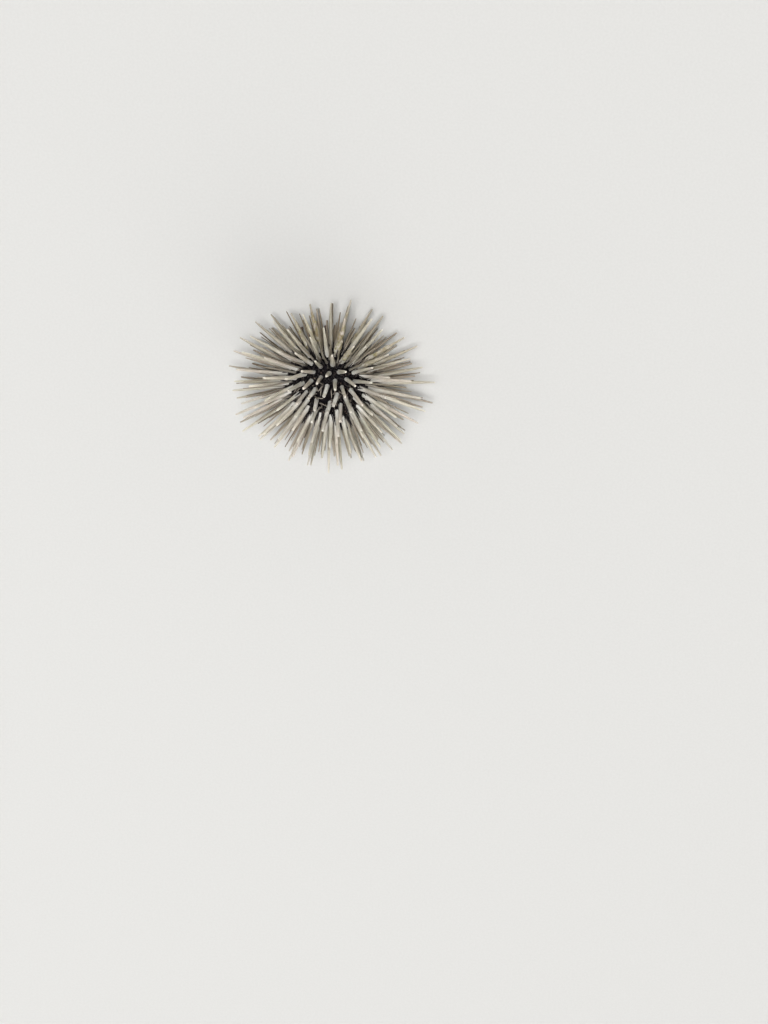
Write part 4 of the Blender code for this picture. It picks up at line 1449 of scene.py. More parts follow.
def bent_tubes(pile, roots, ways, lengths, profile, around, bends, lucks, spots, extra=None, patch=0.003):
    """Many thin tubes at once. profile(t) gives radii, one row a tube; bends are sideways offsets at the tip."""
    count = len(roots)
    a, b = frames_of(ways)
    steps, radii, bows = profile
    rings = len(steps)
    angle = 2 * math.pi * np.arange(around) / around
    base_faces = tube_faces(rings, around)
    for k in range(count):
        t = steps[:, None]
        side = a[k] * bends[k, 0] + b[k] * bends[k, 1]
        wave = a[k] * bends[k, 2] + b[k] * bends[k, 3]
        middle = (
            roots[k]
            + ways[k] * (t * lengths[k])
            + side * (t**2 - t * bows)
            + wave * np.sin(t * math.pi * 2) * 0.5
        )
        ring = np.cos(angle)[None, :, None] * a[k] + np.sin(angle)[None, :, None] * b[k]
        points = (middle[:, None] + ring * radii[k][:, None, None]).reshape(-1, 3)
        along_way = middle[-1] - middle[-2]
        along_way /= np.linalg.norm(along_way)
        end = middle[-1] + along_way * radii[k][-1] * 0.8
        points = np.concatenate([points, middle[:1], end[None]])
        points[:, 2] = np.maximum(points[:, 2], 0.0)
        share = np.concatenate([np.repeat(steps, around), [0, 1]])
        u, v = spots[k]

        def corners(faces):
            ring_share = np.where(faces >= rings * around, np.where(faces > rings * around, 1.0, 0.0), (faces // around) / rings)
            turn_share = (faces % around) / around
            return np.stack([u + (turn_share - 0.5) * patch, v + (ring_share - 0.5) * patch], -1)

        values = {
            "along": share,
            "luck": np.tile(lucks[k], (len(points), 1)),
            "lp": np.stack(
                [
                    np.concatenate([np.tile(np.cos(angle), rings), [0, 0]]) * 0.4 + lucks[k, 0] * 90,
                    np.concatenate([np.tile(np.sin(angle), rings), [0, 0]]) * 0.4 + lucks[k, 1] * 90,
                    share * lengths[k] / MM + lucks[k, 2] * 90,
                ],
                1,
            ),
        }
        pile.add(points, base_faces, [corners(f) for f in base_faces], values)


def growth_frames(spots):
    spots = np.array(spots)
    points, normals = shell_points(spots[:, 0], spots[:, 1])
    uv = [skin_spot(t, p) for t, p in spots]
    return spots, points, normals, uv


def leaning(normals, chance, amount, down=0.0):
    ways = normals + chance.normal(0, amount, normals.shape)
    ways[:, 2] += down
    return ways / np.linalg.norm(ways, axis=1)[:, None]


small_look = small_spine_material()


def secondary_spines(name, first, last, step):
    chance = np.random.RandomState(SEED + 8 + step)
    spots, points, normals, uv = growth_frames([s for s in secondary_spots if first <= math.degrees(s[1]) < last])
    degrees = np.degrees(spots[:, 1])
    ways = leaning(normals, chance, 0.22)
    lengths = np.interp(degrees, (14, 30, 60, 90, 120, 157), (3.6, 5.0, 6.6, 7.0, 5.2, 3.6)) * MM
    lengths *= chance.uniform(0.62, 1.12, len(points))
    base = chance.uniform(0.30, 0.43, len(points)) * MM
    tip = np.full(len(points), 0.10 * MM)
    low = (points[:, 2] + lengths * ways[:, 2]) < 0.5 * MM
    lengths[low] *= 0.6
    ways, lengths, clear = lean_clear(points, ways, lengths, base, tip, 0.12 * MM, 40, mediums)
    clear &= lengths > 1.2 * MM
    points, normals, ways, lengths, base = (x[clear] for x in (points, normals, ways, lengths, base))
    uv = [uv[k] for k in np.nonzero(clear)[0]]
    steps = np.array([0.0, 0.03, 0.055, 0.085, 0.12, 0.25, 0.42, 0.58, 0.72, 0.84, 0.93, 1.0])
    swell = np.array([0.80, 0.86, 1.16, 1.16, 0.94, 0.95, 0.90, 0.80, 0.66, 0.50, 0.36, 0.24])
    pile = Pile()
    roots = points - normals * 0.12 * MM
    bends = chance.normal(0, 0.05, (len(points), 4)) * lengths[:, None]
    bends[:, 2:] *= 0.25
    bent_tubes(pile, roots, ways, lengths, (steps, base[:, None] * swell[None], 0.0), 14, bends, chance.uniform(0, 1, (len(points), 3)), uv)
    pile.piece(name, small_look, replaces=ZONE_NODES, slot="spined_test")
    return len(points)


def curved_spines():
    """A few thin curved ones lean in over the plates at the apex."""
    chance = np.random.RandomState(SEED + 14)
    made = []
    for k in range(34):
        turn = 2 * math.pi * (k + 0.6 * chance.uniform()) / 34
        made.append((turn, math.radians(chance.uniform(12.5, 27.0))))
    spots, points, normals, uv = growth_frames(made)
    beside = np.array([m["point"] for m in primaries])
    free = (np.linalg.norm(points[:, None] - beside[None], axis=2) > np.array([m["base"] for m in primaries])[None] + 0.55 * MM).all(1)
    free &= np.hypot(points[:, 0], points[:, 1]) > DISC_RADIUS + 0.5 * MM
    spots, points, normals = spots[free], points[free], normals[free]
    uv = [uv[k] for k in np.nonzero(free)[0]]
    inward = -points.copy()
    inward[:, 2] = 0
    inward /= np.linalg.norm(inward, axis=1)[:, None]
    ways = normals + inward * chance.uniform(0.1, 0.9, (len(points), 1)) + chance.normal(0, 0.22, points.shape)
    ways /= np.linalg.norm(ways, axis=1)[:, None]
    lengths = chance.uniform(4.6, 7.4, len(points)) * MM
    base = chance.uniform(0.36, 0.46, len(points)) * MM
    tip = np.full(len(points), 0.12 * MM)
    ways, lengths, clear = lean_clear(points, ways, lengths, base, tip, 0.15 * MM)
    clear &= lengths > 3.2 * MM
    points, normals, ways, lengths, base = (x[clear] for x in (points, normals, ways, lengths, base))
    uv = [uv[k] for k in np.nonzero(clear)[0]]
    steps = np.array([0.0, 0.03, 0.055, 0.085, 0.12, 0.25, 0.38, 0.50, 0.62, 0.74, 0.85, 0.94, 1.0])
    swell = np.array([0.80, 0.86, 1.20, 1.20, 0.94, 0.95, 0.92, 0.88, 0.80, 0.70, 0.56, 0.40, 0.26])
    pile = Pile()
    bends = chance.normal(0, 0.16, (len(points), 4)) * lengths[:, None]
    bends[:, 2:] *= 0.3
    lucks = chance.uniform(0, 1, (len(points), 3))
    lucks[:, 1] = 0.92 + 0.08 * lucks[:, 1]
    bent_tubes(pile, points - normals * 0.12 * MM, ways, lengths, (steps, base[:, None] * swell[None], 0.0), 14, bends, lucks, uv)
    pile.piece("curved_spines", small_look, replaces=ZONE_NODES, slot="spined_test")
    return len(points)


def miliary_spines(name, first, last, step):
    chance = np.random.RandomState(SEED + 9 + step)
    spots, points, normals, uv = growth_frames([s for s in miliary_spots if first <= math.degrees(s[1]) < last])
    degrees = np.degrees(spots[:, 1])
    ways = leaning(normals, chance, 0.30)
    lengths = np.interp(degrees, (14, 60, 100, 157), (1.5, 2.3, 2.5, 1.7)) * MM
    lengths *= chance.uniform(0.6, 1.2, len(points))
    base = chance.uniform(0.12, 0.18, len(points)) * MM
    tip = np.full(len(points), 0.06 * MM)
    ways, lengths, clear = lean_clear(points, ways, lengths, base, tip, 0.05 * MM, 24, mediums)
    clear &= lengths > 0.6 * MM
    points, normals, ways, lengths, base = (x[clear] for x in (points, normals, ways, lengths, base))
    uv = [uv[k] for k in np.nonzero(clear)[0]]
    steps = np.array([0.0, 0.10, 0.16, 0.30, 0.60, 0.85, 1.0])
    swell = np.array([0.85, 1.15, 0.92, 0.86, 0.72, 0.56, 0.42])
    pile = Pile()
    roots = points - normals * 0.10 * MM
    bends = chance.normal(0, 0.08, (len(points), 4)) * lengths[:, None]
    bends[:, 2:] *= 0.25
    bent_tubes(pile, roots, ways, lengths, (steps, base[:, None] * swell[None], 0.0), 9, bends, chance.uniform(0, 1, (len(points), 3)), uv)
    pile.piece(name, small_look, replaces=ZONE_NODES, slot="spined_test")
    return len(points)


def pedicellariae():
    """Tiny stalked pincers, each a thin stalk with one swollen head, as its three jaws look when closed."""
    chance = np.random.RandomState(SEED + 10)
    spots = small_spots(
        chance, 0.25 * MM, 0.40 * MM, 2600, secondary_points + miliary_points,
        [0.0] * (len(secondary_points) + len(miliary_points)), beside=mediums,
    )[:190]
    spots, points, normals, uv = growth_frames(spots)
    ways = leaning(normals, chance, 0.25)
    lengths = chance.uniform(1.6, 3.2, len(points)) * MM
    base = np.full(len(points), 0.20 * MM)
    ways, lengths, clear = lean_clear(points, ways, lengths, base, base, 0.04 * MM, 24, mediums)
    points, normals, ways, lengths = (x[clear] for x in (points, normals, ways, lengths))
    uv = [uv[k] for k in np.nonzero(clear)[0]]
    steps = np.array([0.0, 0.06, 0.30, 0.55, 0.74, 0.79, 0.84, 0.89, 0.94, 0.98, 1.0])
    swell = np.array([0.09, 0.06, 0.05, 0.05, 0.06, 0.13, 0.18, 0.18, 0.13, 0.07, 0.03]) * MM
    pile = Pile()
    bends = chance.normal(0, 0.10, (len(points), 4)) * lengths[:, None]
    bends[:, 2:] *= 0.4
    roots = points - normals * 0.10 * MM
    bent_tubes(pile, roots, ways, lengths, (steps, np.tile(swell, (len(points), 1)), 0.0), 9, bends, chance.uniform(0, 1, (len(points), 3)), uv)
    pile.piece("pedicellariae", podium_look, replaces=ZONE_NODES, slot="dark_skin")


podium_look = podium_material()


def tube_feet():
    """The feet that hold the floor, and the shorter ones that feel about between the spines."""
    chance = np.random.RandomState(SEED + 11)
    pile = Pile()
    around = 18
    # Those that reach the floor stand where the construction has them.
    points = np.array([m["point"] for m in holding_feet])
    normals = np.array([m["normal"] for m in holding_feet])
    ways = np.array([m["way"] for m in holding_feet])
    lengths = np.array([m["length"] for m in holding_feet])
    uv = [skin_spot(m["turn"], m["place"]) for m in holding_feet]
    steps = np.concatenate([np.linspace(0, 0.84, 26), [0.87, 0.90, 0.93, 0.96, 0.985, 1.0]])
    shape = np.interp(steps, (0, 0.1, 0.5, 0.84, 0.90, 0.94, 0.97, 1.0), (1.15, 1.0, 0.82, 0.80, 1.05, 1.55, 1.85, 1.80))
    rings = 1 + 0.05 * np.cos(np.arange(len(steps)) * math.pi) * (steps < 0.86)
    radii = np.tile(shape * rings * 0.33 * MM, (len(points), 1))
    bends = chance.normal(0, 0.05 * MM, (len(points), 4))
    bends[:, :2] = 0
    roots = points - normals * 0.15 * MM
    back = lengths * ways[:, 2] + roots[:, 2]
    lengths = lengths - back / ways[:, 2]
    bent_tubes(pile, roots, ways, lengths, (steps, radii, 0.0), around, bends, chance.uniform(0, 1, (len(points), 3)), uv)

    # The rest come from the pores along each ambulacrum's edges.
    spots = []
    for kind, number, middle in zones():
        if kind != "ambulacrum":
            continue
        for sign in (-1, 1):
            for place in np.arange(26, 150, 7.0):
                spots.append(
                    (
                        math.radians(middle + sign * (10.4 + 1.6 * chance.uniform())),
                        math.radians(place + 2.5 * chance.uniform()),
                    )
                )
    spots, points, normals, uv = growth_frames(spots)
    beside = primaries + holding_feet + mediums
    far = np.linalg.norm(points[:, None] - np.array([m["point"] for m in beside])[None], axis=2)
    free = (far > np.array([m["base"] for m in beside])[None] + 0.45 * MM).all(1)
    degrees = np.degrees(spots[:, 1])
    ways = leaning(normals, chance, 0.30, -0.1)
    lengths = np.interp(degrees, (26, 85, 110, 150), (1.9, 2.8, 5.6, 3.6)) * MM * chance.uniform(0.7, 1.2, len(points))
    lengths = np.where(ways[:, 2] < -0.05, np.minimum(lengths, -(points[:, 2] - 0.6 * MM) / np.minimum(ways[:, 2], -0.05)), lengths)
    base = np.full(len(points), 0.26 * MM)
    ways, lengths, clear = lean_clear(points, ways, lengths, base * 1.5, base * 1.7, 0.08 * MM, 40, mediums)
    clear &= free & (lengths > 1.4 * MM)
    points, normals, ways, lengths = (x[clear] for x in (points, normals, ways, lengths))
    uv = [uv[k] for k in np.nonzero(clear)[0]]
    shape = np.interp(steps, (0, 0.1, 0.5, 0.84, 0.90, 0.94, 0.97, 1.0), (1.2, 1.0, 0.85, 0.78, 1.0, 1.45, 1.55, 1.20))
    radii = np.tile(shape * rings * 0.25 * MM, (len(points), 1)) * chance.uniform(0.85, 1.15, (len(points), 1))
    bends = chance.normal(0, 0.10, (len(points), 4)) * lengths[:, None]
    bends[:, 2:] *= 0.4
    roots = points - normals * 0.12 * MM
    bent_tubes(pile, roots, ways, lengths, (steps, radii, 0.0), around, bends, chance.uniform(0, 1, (len(points), 3)), uv)
    pile.piece("tube_feet", podium_look, replaces=ZONE_NODES, slot="dark_skin")
    return len(points)


print("secondary spines", secondary_spines("secondary_spines_upper", 0, 88, 0), secondary_spines("secondary_spines_lower", 88, 180, 20))
print("curved spines", curved_spines())
print("miliary spines", miliary_spines("miliary_spines_upper", 0, 88, 0), miliary_spines("miliary_spines_lower", 88, 180, 20))
print("free tube feet", tube_feet())
pedicellariae()


# ---------------------------------------------------------------------------
# The plates at the apex.
# ---------------------------------------------------------------------------


UNIT = DISC_RADIUS / 4.0  # the plates are drawn on a disc of radius 4


def dome_height(reach):
    """Level of the disc's surface at a distance from the axis."""
    return APEX - 0.05 * MM - 0.35 * MM * smoothstep(DISC_RADIUS * 0.5, DISC_RADIUS, reach)


def slab(pile, outline, lift, dome, pits, bumps, seed, loops=12, sink=0.85 * MM):
    """A plate with a rounded rim, domed, with grains and pits. outline is a closed loop of (x, y)."""
    outline = np.asarray(outline)
    centre = outline.mean(0)
    count = len(outline)
    inward = centre - outline
    size = np.linalg.norm(inward, axis=1).mean()
    points, ridge, crease = [], [], []
    # The side, the rounded rim, and then rings running in to the middle.
    levels = [(0.0, -sink), (0.0, -0.22 * MM), (0.02, -0.10 * MM), (0.06, -0.03 * MM)]
    levels += [(0.06 + 0.94 * (k / loops), 0.0) for k in range(1, loops)]
    for share, down in levels:
        ring = outline + inward * share
        reach = np.hypot(ring[:, 0], ring[:, 1])
        z = dome_height(reach) + lift + down
        if down > -0.2 * MM:
            z = z + dome * (1 - (1 - share) ** 2)
            flat = np.stack([ring[:, 0], ring[:, 1], np.zeros(count)], 1)
            mark = np.zeros(count)
            for px, py, pr, deep in pits:
                far = np.hypot(ring[:, 0] - px, ring[:, 1] - py) / pr
                z = z - deep * np.exp(-(far**2)) + deep * 0.35 * np.exp(-(((far - 1.5) / 0.4) ** 2))
                mark = np.maximum(mark, np.exp(-(far**2)))
            for px, py, pr, high in bumps:
                far = np.hypot(ring[:, 0] - px, ring[:, 1] - py) / pr
                z = z + high * np.exp(-(far**2) * 1.8)
            grain = hash_noise(flat * 5200, seed) * 0.028 * MM + hash_noise(flat * 11000, seed + 1) * 0.012 * MM
            z = z + grain
            ridge.append(np.clip(0.15 + grain / (0.06 * MM) + 0.2 * (share > 0.1), 0, 1))
            # Pits and the rounded rim are marked for the dark paint: the pores' own dark openings, and painted shade
            # on the rim.
            crease.append(np.clip(mark + (0.7 if share < 0.05 else 0.0), 0, 1))
        else:
            ridge.append(np.zeros(count))
            # The side down into the gap between plates is all painted shade.
            crease.append(np.ones(count))
        points.append(np.stack([ring[:, 0], ring[:, 1], z], 1))
    rings = len(levels)
    points = np.concatenate(points)
    bottom = np.array([[centre[0], centre[1], points[:count, 2].mean()]])
    top = np.array([[centre[0], centre[1], points[-count:, 2].mean()]])
    points = np.concatenate([points, bottom, top])
    faces = tube_faces(rings, count)
    extent = 5.0 * UNIT

    def corners(f):
        p = points[f]
        outside = (f < count) | (f == rings * count)
        u = 0.5 + p[..., 0] / extent / 2 * np.where(outside, 1.004, 1.0)
        v = 0.5 + p[..., 1] / extent / 2 * np.where(outside, 1.004, 1.0)
        return np.stack([u, v], -1)

    pile.add(
        points,
        faces,
        [corners(f) for f in faces],
        {
            "ridge": np.concatenate(ridge + [[0, 0.3]]),
            "crease": np.concatenate(crease + [[1, 0]]),
        },
    )


def rounded(polar, steps=14, soften=0.22):
    """A closed outline through corners given as (turn in degrees, radius in mm), with softened corners."""
    corners = []
    for turn, radius in polar:
        corners.append((radius * math.cos(math.radians(turn)), radius * math.sin(math.radians(turn))))
    corners = np.array(corners) * UNIT
    fine = []
    count = len(corners)
    for k in range(count):
        a, b = corners[k], corners[(k + 1) % count]
        for s in range(steps):
            fine.append(a + (b - a) * s / steps)
    fine = np.array(fine)
    for _ in range(int(10 * soften) + 2):
        fine = (np.roll(fine, 1, 0) + fine * 2 + np.roll(fine, -1, 0)) / 4
    middle = fine.mean(0)
    return middle + (fine - middle) * 1.01


def apical_plates():
    """Five genital plates, the largest of them the porous madreporite, and five oculars at their corners."""
    chance = np.random.RandomState(SEED + 12)
    look = plate_material()
    genital, ocular, sieve = Pile(), Pile(), Pile()
    for k in range(5):
        middle = FIRST_AMBULACRUM_DEG + 36 + 72 * k
        big = abs((middle - MADREPORITE_DEG + 180) % 360 - 180) < 1
        half = 34.6
        inner, outer = 1.78, 3.86
        outline = rounded(
            [
                (middle - half, inner), (middle, inner * 0.98), (middle + half, inner),
                (middle + half * 0.985, 2.85), (middle + 21.5, outer * 0.985),
                (middle, outer), (middle - 21.5, outer * 0.985), (middle - half * 0.985, 2.85),
            ]
        )
        pore_at = 3.30 * UNIT
        pore = (pore_at * math.cos(math.radians(middle)), pore_at * math.sin(math.radians(middle)), 0.17 * MM, 0.42 * MM)
        pits, bumps = [pore], []
        for _ in range(150 if big else 7):
            reach = chance.uniform(1.95, 3.1 if big else 3.5) * UNIT
            turn = math.radians(middle + chance.uniform(-25, 25))
            spot = (reach * math.cos(turn), reach * math.sin(turn))
            if big:
                pits.append((*spot, 0.055 * MM, 0.09 * MM))
            elif math.hypot(spot[0] - pore[0], spot[1] - pore[1]) > 0.45 * MM:
                bumps.append((*spot, 0.17 * MM, 0.13 * MM))
        target = sieve if big else genital
        slab(
            target, outline, 0.16 * MM if big else 0.0, (0.22 if big else 0.10) * MM, pits, bumps, 31 + k,
            loops=26 if big else 16,
        )
        eye = middle + 36
        outline = rounded(
            [(eye, 2.78), (eye + 13.2, 3.72), (eye + 9.0, 3.98), (eye, 4.02), (eye - 9.0, 3.98), (eye - 13.2, 3.72)],
            10,
        )
        spot = 3.74 * UNIT
        pits = [(spot * math.cos(math.radians(eye)), spot * math.sin(math.radians(eye)), 0.09 * MM, 0.16 * MM)]
        slab(ocular, outline, -0.05 * MM, 0.07 * MM, pits, [], 51 + k)
    genital.piece("genital_plates", look, replaces=["apical_disc"], slot="apical_plates")
    ocular.piece("ocular_plates", look, replaces=["apical_disc"], slot="apical_plates")
    sieve.piece("madreporite_plate", look, replaces=["madreporite"], slot="apical_plates")

    # The patch of small scales round the anus.
    scales = Pile()
    placed = []
    for radius, count, size in ((1.36, 13, 0.30), (0.86, 8, 0.28), (0.46, 5, 0.20)):
        for k in range(count):
            turn = 2 * math.pi * (k + 0.35 * chance.uniform()) / count + radius
            placed.append((radius * UNIT * math.cos(turn), radius * UNIT * math.sin(turn), size * chance.uniform(0.85, 1.1) * UNIT))
    for number, (x, y, size) in enumerate(placed):
        ring = 2 * math.pi * np.arange(20) / 20
        wobble = 1 + 0.12 * np.cos(5 * ring + number) + 0.08 * np.cos(3 * ring + 2 * number)
        outline = np.stack([x + size * wobble * np.cos(ring), y + size * wobble * np.sin(ring)], 1)
        lift = 0.26 * MM * (1 - (math.hypot(x, y) / (1.7 * UNIT)) ** 2) + 0.03 * MM
        slab(scales, outline, lift, 0.07 * MM, [], [], 71 + number, loops=5, sink=0.30 * MM)
    # Beneath them is one soft dome, with the anus in its middle.
    around, rings = 64, 16
    angle = 2 * math.pi * np.arange(around) / around
    points, ridge, crease = [], [], []
    for k in range(rings):
        reach = 1.72 * UNIT * (1 - k / rings)
        z = APEX - 0.12 * MM + 0.34 * MM * (1 - (reach / (1.72 * UNIT)) ** 2)
        z += 0.10 * MM * math.exp(-(((reach - 0.26 * MM) / (0.10 * MM)) ** 2)) - 0.30 * MM * math.exp(-((reach / (0.14 * MM)) ** 2))
        fold = 0.015 * MM * np.cos(16 * angle) * math.exp(-(((reach - 0.3 * MM) / (0.2 * MM)) ** 2))
        points.append(np.stack([reach * np.cos(angle), reach * np.sin(angle), z + fold], 1))
        ridge.append(np.full(around, 0.2))
        crease.append(np.full(around, 0.8 if reach < 0.2 * MM else 0.0))
    points.insert(0, points[0] - [0, 0, 0.6 * MM])
    ridge.insert(0, ridge[0])
    crease.insert(0, crease[0])
    points = np.concatenate(points)
    points = np.concatenate([points, [[0, 0, points[0, 2]]], [[0, 0, points[-around:, 2].mean() - 0.05 * MM]]])
    faces = tube_faces(rings + 1, around)
    extent = 5.0 * UNIT
    scales.add(
        points,
        faces,
        [np.stack([0.5 + points[f][..., 0] / extent / 2, 0.5 + points[f][..., 1] / extent / 2], -1) for f in faces],
        {"ridge": np.concatenate(ridge + [[0, 0]]), "crease": np.concatenate(crease + [[0, 1]])},
    )
    scales.piece("anus_scales", look, replaces=["periproct"], slot="apical_plates")


apical_plates()


# ---------------------------------------------------------------------------
# The mouth: five teeth, ten buccal feet, and the gills at the field's edge.
# ---------------------------------------------------------------------------


def teeth():
    look = tooth_material()
    pile = Pile()
    around, rings = 20, 18
    angle = 2 * math.pi * np.arange(around) / around
    for k in range(5):
        turn = math.radians(FIRST_AMBULACRUM_DEG + 36 + 72 * k)
        out = np.array([math.cos(turn), math.sin(turn), 0])
        side = np.array([-math.sin(turn), math.cos(turn), 0])
        points, along = [], []
        for r in range(rings):
            t = r / (rings - 1)
            # Each tooth curves down and in to a chisel point.
            reach = (1.50 - 0.50 * t - 0.50 * t**2.2) * MM
            z = UNDERSIDE + (0.75 - 2.30 * t) * MM
            wide = (0.56 - 0.10 * t - 0.26 * t**4) * MM
            thick = (0.40 - 0.14 * t - 0.20 * t**3) * MM
            if r == rings - 1:
                wide, thick = 0.10 * MM, 0.04 * MM
            # A keel runs down the inner face.
            keel = 1 + 0.55 * np.exp(-(((angle - math.pi) / 0.42) ** 2))
            cross_out = np.cos(angle) * thick * keel
            cross_side = np.sign(np.sin(angle)) * np.abs(np.sin(angle)) ** 0.8 * wide
            loop = out * reach + np.array([0, 0, z])
            points.append(loop + out * cross_out[:, None] + side * cross_side[:, None])
            along.append(np.full(around, t))
        points = np.concatenate(points)
        points = np.concatenate([points, points[:around].mean(0)[None], points[-around:].mean(0)[None] - [[0, 0, 0.03 * MM]]])
        faces = tube_faces(rings, around)
        # The rings run downwards, so the loops face the other way.
        faces = [f[:, ::-1] for f in faces]
        corners = [c[:, ::-1] for c in tube_corners(rings, around, (k / 5 + 0.01, 0.02, (k + 1) / 5 - 0.01, 0.98))]
        pile.add(points, faces, corners, {"along": np.concatenate(along + [[0, 1]])})
    pile.piece("five_teeth", look, replaces=["teeth"], slot="teeth")


def mouth_growths():
    chance = np.random.RandomState(SEED + 13)
    pile = Pile()
    # Ten short stout feet in pairs round the lip.
    roots, ways, uv = [], [], []
    for k in range(5):
        for sign in (-1, 1):
            turn = math.radians(FIRST_AMBULACRUM_DEG + 72 * k + 11 * sign)
            radius, height = mouth_line(0.56)
            roots.append((radius * math.cos(turn), radius * math.sin(turn) * 0.96, height + 0.10 * MM))
            way = np.array([math.cos(turn) * 0.35, math.sin(turn) * 0.35, -1.0])
            ways.append(way / np.linalg.norm(way))
            uv.append((0.05 + 0.09 * (2 * k + (sign > 0)), 0.03))
    roots, ways = np.array(roots), np.array(ways)
    steps = np.linspace(0, 1, 16)
    shape = np.interp(steps, (0, 0.2, 0.62, 0.78, 0.9, 1.0), (0.62, 0.50, 0.42, 0.62, 0.70, 0.40)) * MM
    lengths = chance.uniform(1.7, 2.3, 10) * MM
    bends = chance.normal(0, 0.12 * MM, (10, 4))
    bent_tubes(pile, roots, ways, lengths, (steps, np.tile(shape, (10, 1)), 0.0), 18, bends, chance.uniform(0, 1, (10, 3)), uv, patch=0.02)
    # Tufts of gill at the ten notches of the field's edge.
    roots, ways, uv = [], [], []
    for k in range(5):
        for sign in (-1, 1):
            turn = math.radians(FIRST_AMBULACRUM_DEG + 72 * k + 17.5 * sign)
            for _ in range(9):
                bit = turn + chance.normal(0, 0.035)
                radius = MOUTH_RADIUS * chance.uniform(0.955, 1.0)
                roots.append((radius * math.cos(bit), radius * math.sin(bit) * MOUTH_SQUASH, UNDERSIDE + 0.25 * MM))
                way = np.array([math.cos(bit) * 0.45, math.sin(bit) * 0.45, -1.0]) + chance.normal(0, 0.35, 3)
                ways.append(way / np.linalg.norm(way))
                uv.append((0.05 + 0.09 * (2 * k + (sign > 0)) + chance.uniform(0, 0.05), 0.015))
    roots, ways = np.array(roots), np.array(ways)
    count = len(roots)
    steps = np.linspace(0, 1, 9)
    shape = np.interp(steps, (0, 0.3, 0.7, 0.9, 1.0), (0.16, 0.13, 0.16, 0.13, 0.06)) * MM
    lengths = chance.uniform(0.7, 1.4, count) * MM
    bends = chance.normal(0, 0.15, (count, 4)) * lengths[:, None]
    bent_tubes(pile, roots, ways, lengths, (steps, np.tile(shape, (count, 1)), 0.0), 9, bends, chance.uniform(0, 1, (count, 3)), uv)
    pile.piece("mouth_feet_and_gills", podium_look, replaces=["peristome"], slot="dark_skin")


teeth()
mouth_growths()


# ---------------------------------------------------------------------------
# Camera, floor and light.
# ---------------------------------------------------------------------------


def camera():
    """Looks down on the urchin as the photograph does, with its middle where it lies in the frame."""
    azimuth, elevation, distance = math.radians(74.0), math.radians(63.5), 1.15
    lens, sensor = 85.0, 36.0
    middle_pixel = (328.7, 383.4)
    target = Vector((0, 0, AMBITUS_Z)) + Vector(SHIFT)
    to_camera = Vector(
        (
            math.cos(elevation) * math.cos(azimuth),
            math.cos(elevation) * math.sin(azimuth),
            math.sin(elevation),
        )
    )
    up = Vector((0, 1, 0))
    y = (up - to_camera * up.dot(to_camera)).normalized()
    x = y.cross(to_camera)
    square = Matrix((x, y, to_camera)).transposed()
    ray = Vector((middle_pixel[0] - 384, 512 - middle_pixel[1], -lens / sensor * 1024)).normalized()
    turn = Vector((0, 0, -1)).rotation_difference(ray)
    aim = square @ turn.to_matrix().inverted()
    data = bpy.data.cameras.new("camera")
    data.lens, data.sensor_width, data.clip_start = lens, sensor, 0.01
    body = bpy.data.objects.new("camera", data)
    body.matrix_world = Matrix.Translation(target + to_camera * distance) @ aim.to_4x4()
    bpy.context.scene.collection.objects.link(body)
    bpy.context.scene.camera = body


def area_light(name, place, size, power, colour):
    data = bpy.data.lights.new(name, "AREA")
    data.shape = "DISK"
    data.size, data.energy, data.color = size, power, colour
    body = bpy.data.objects.new(name, data)
    body.location = place
    body.rotation_euler = (Vector((0, 0, 0.015)) - Vector(place)).to_track_quat("-Z", "Y").to_euler()
    bpy.context.scene.collection.objects.link(body)


def far_light(name, way, width, power, colour):
    """A broad lamp so far off that it lights the whole floor alike."""
    data = bpy.data.lights.new(name, "SUN")
    data.angle, data.energy, data.color = math.radians(width), power, colour
    body = bpy.data.objects.new(name, data)
    body.location = way
    body.rotation_euler = (-Vector(way)).to_track_quat("-Z", "Y").to_euler()
    bpy.context.scene.collection.objects.link(body)


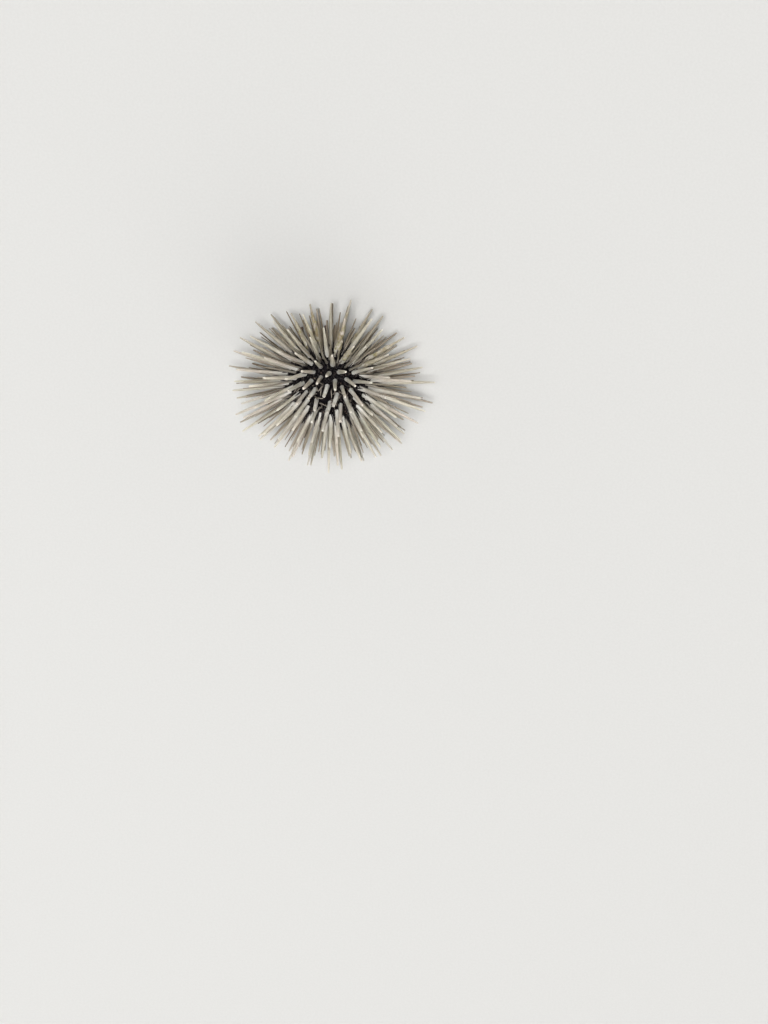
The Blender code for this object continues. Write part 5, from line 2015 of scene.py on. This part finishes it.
def studio():
    mesh = bpy.data.meshes.new("floor")
    size = 12.0
    mesh.from_pydata([(-size, -size, 0), (size, -size, 0), (size, size, 0), (-size, size, 0)], [], [(0, 1, 2, 3)])
    m = Shade("studio_floor", 0.85, 0.2)
    grain = m.noise(m.object_place(), 900.0, 2.0)
    m.colour(m.mix(m.spread(grain, 0.3, 0.7), (0.508, 0.507, 0.502), (0.522, 0.521, 0.516)))
    mesh.materials.append(m.material)
    body = bpy.data.objects.new("floor", mesh)
    bpy.context.scene.collection.objects.link(body)

    world = bpy.data.worlds.new("studio_air")
    world.use_nodes = True
    # Bright walls all round and a dim ceiling light it; what shows behind the floor is plain and pale.
    nodes, links = world.node_tree.nodes, world.node_tree.links
    air = nodes["Background"]
    air.inputs["Color"].default_value = (1.0, 0.987, 0.950, 1.0)
    split = nodes.new("ShaderNodeSeparateXYZ")
    links.new(nodes.new("ShaderNodeTexCoord").outputs["Generated"], split.inputs[0])
    rise = nodes.new("ShaderNodeMapRange")
    rise.interpolation_type = "SMOOTHSTEP"
    for key, number in (("From Min", 0.04), ("From Max", 0.46), ("To Min", 3.6), ("To Max", 0.02)):
        rise.inputs[key].default_value = number
    links.new(split.outputs["Z"], rise.inputs["Value"])
    links.new(rise.outputs["Result"], air.inputs["Strength"])
    behind = nodes.new("ShaderNodeBackground")
    behind.inputs["Color"].default_value = (0.98, 0.98, 0.97, 1.0)
    behind.inputs["Strength"].default_value = 1.0
    choose = nodes.new("ShaderNodeMixShader")
    links.new(nodes.new("ShaderNodeLightPath").outputs["Is Camera Ray"], choose.inputs[0])
    links.new(air.outputs[0], choose.inputs[1])
    links.new(behind.outputs[0], choose.inputs[2])
    links.new(choose.outputs[0], nodes["World Output"].inputs["Surface"])
    bpy.context.scene.world = world
    far_light("key", (0.04, 0.40, 1.10), 20.0, 4.3, (1.0, 0.997, 0.99))
    far_light("fill", (0.45, -0.95, 0.45), 55.0, 1.5, (1.0, 0.985, 0.955))
    area_light("rim", (-0.70, -0.30, 0.80), 0.70, 1.0, (0.96, 0.98, 1.0))
    bpy.context.scene.view_settings.view_transform = "Standard"
    bpy.context.scene.view_settings.look = "High Contrast"
    bpy.context.scene.view_settings.exposure = -0.68


camera()
studio()
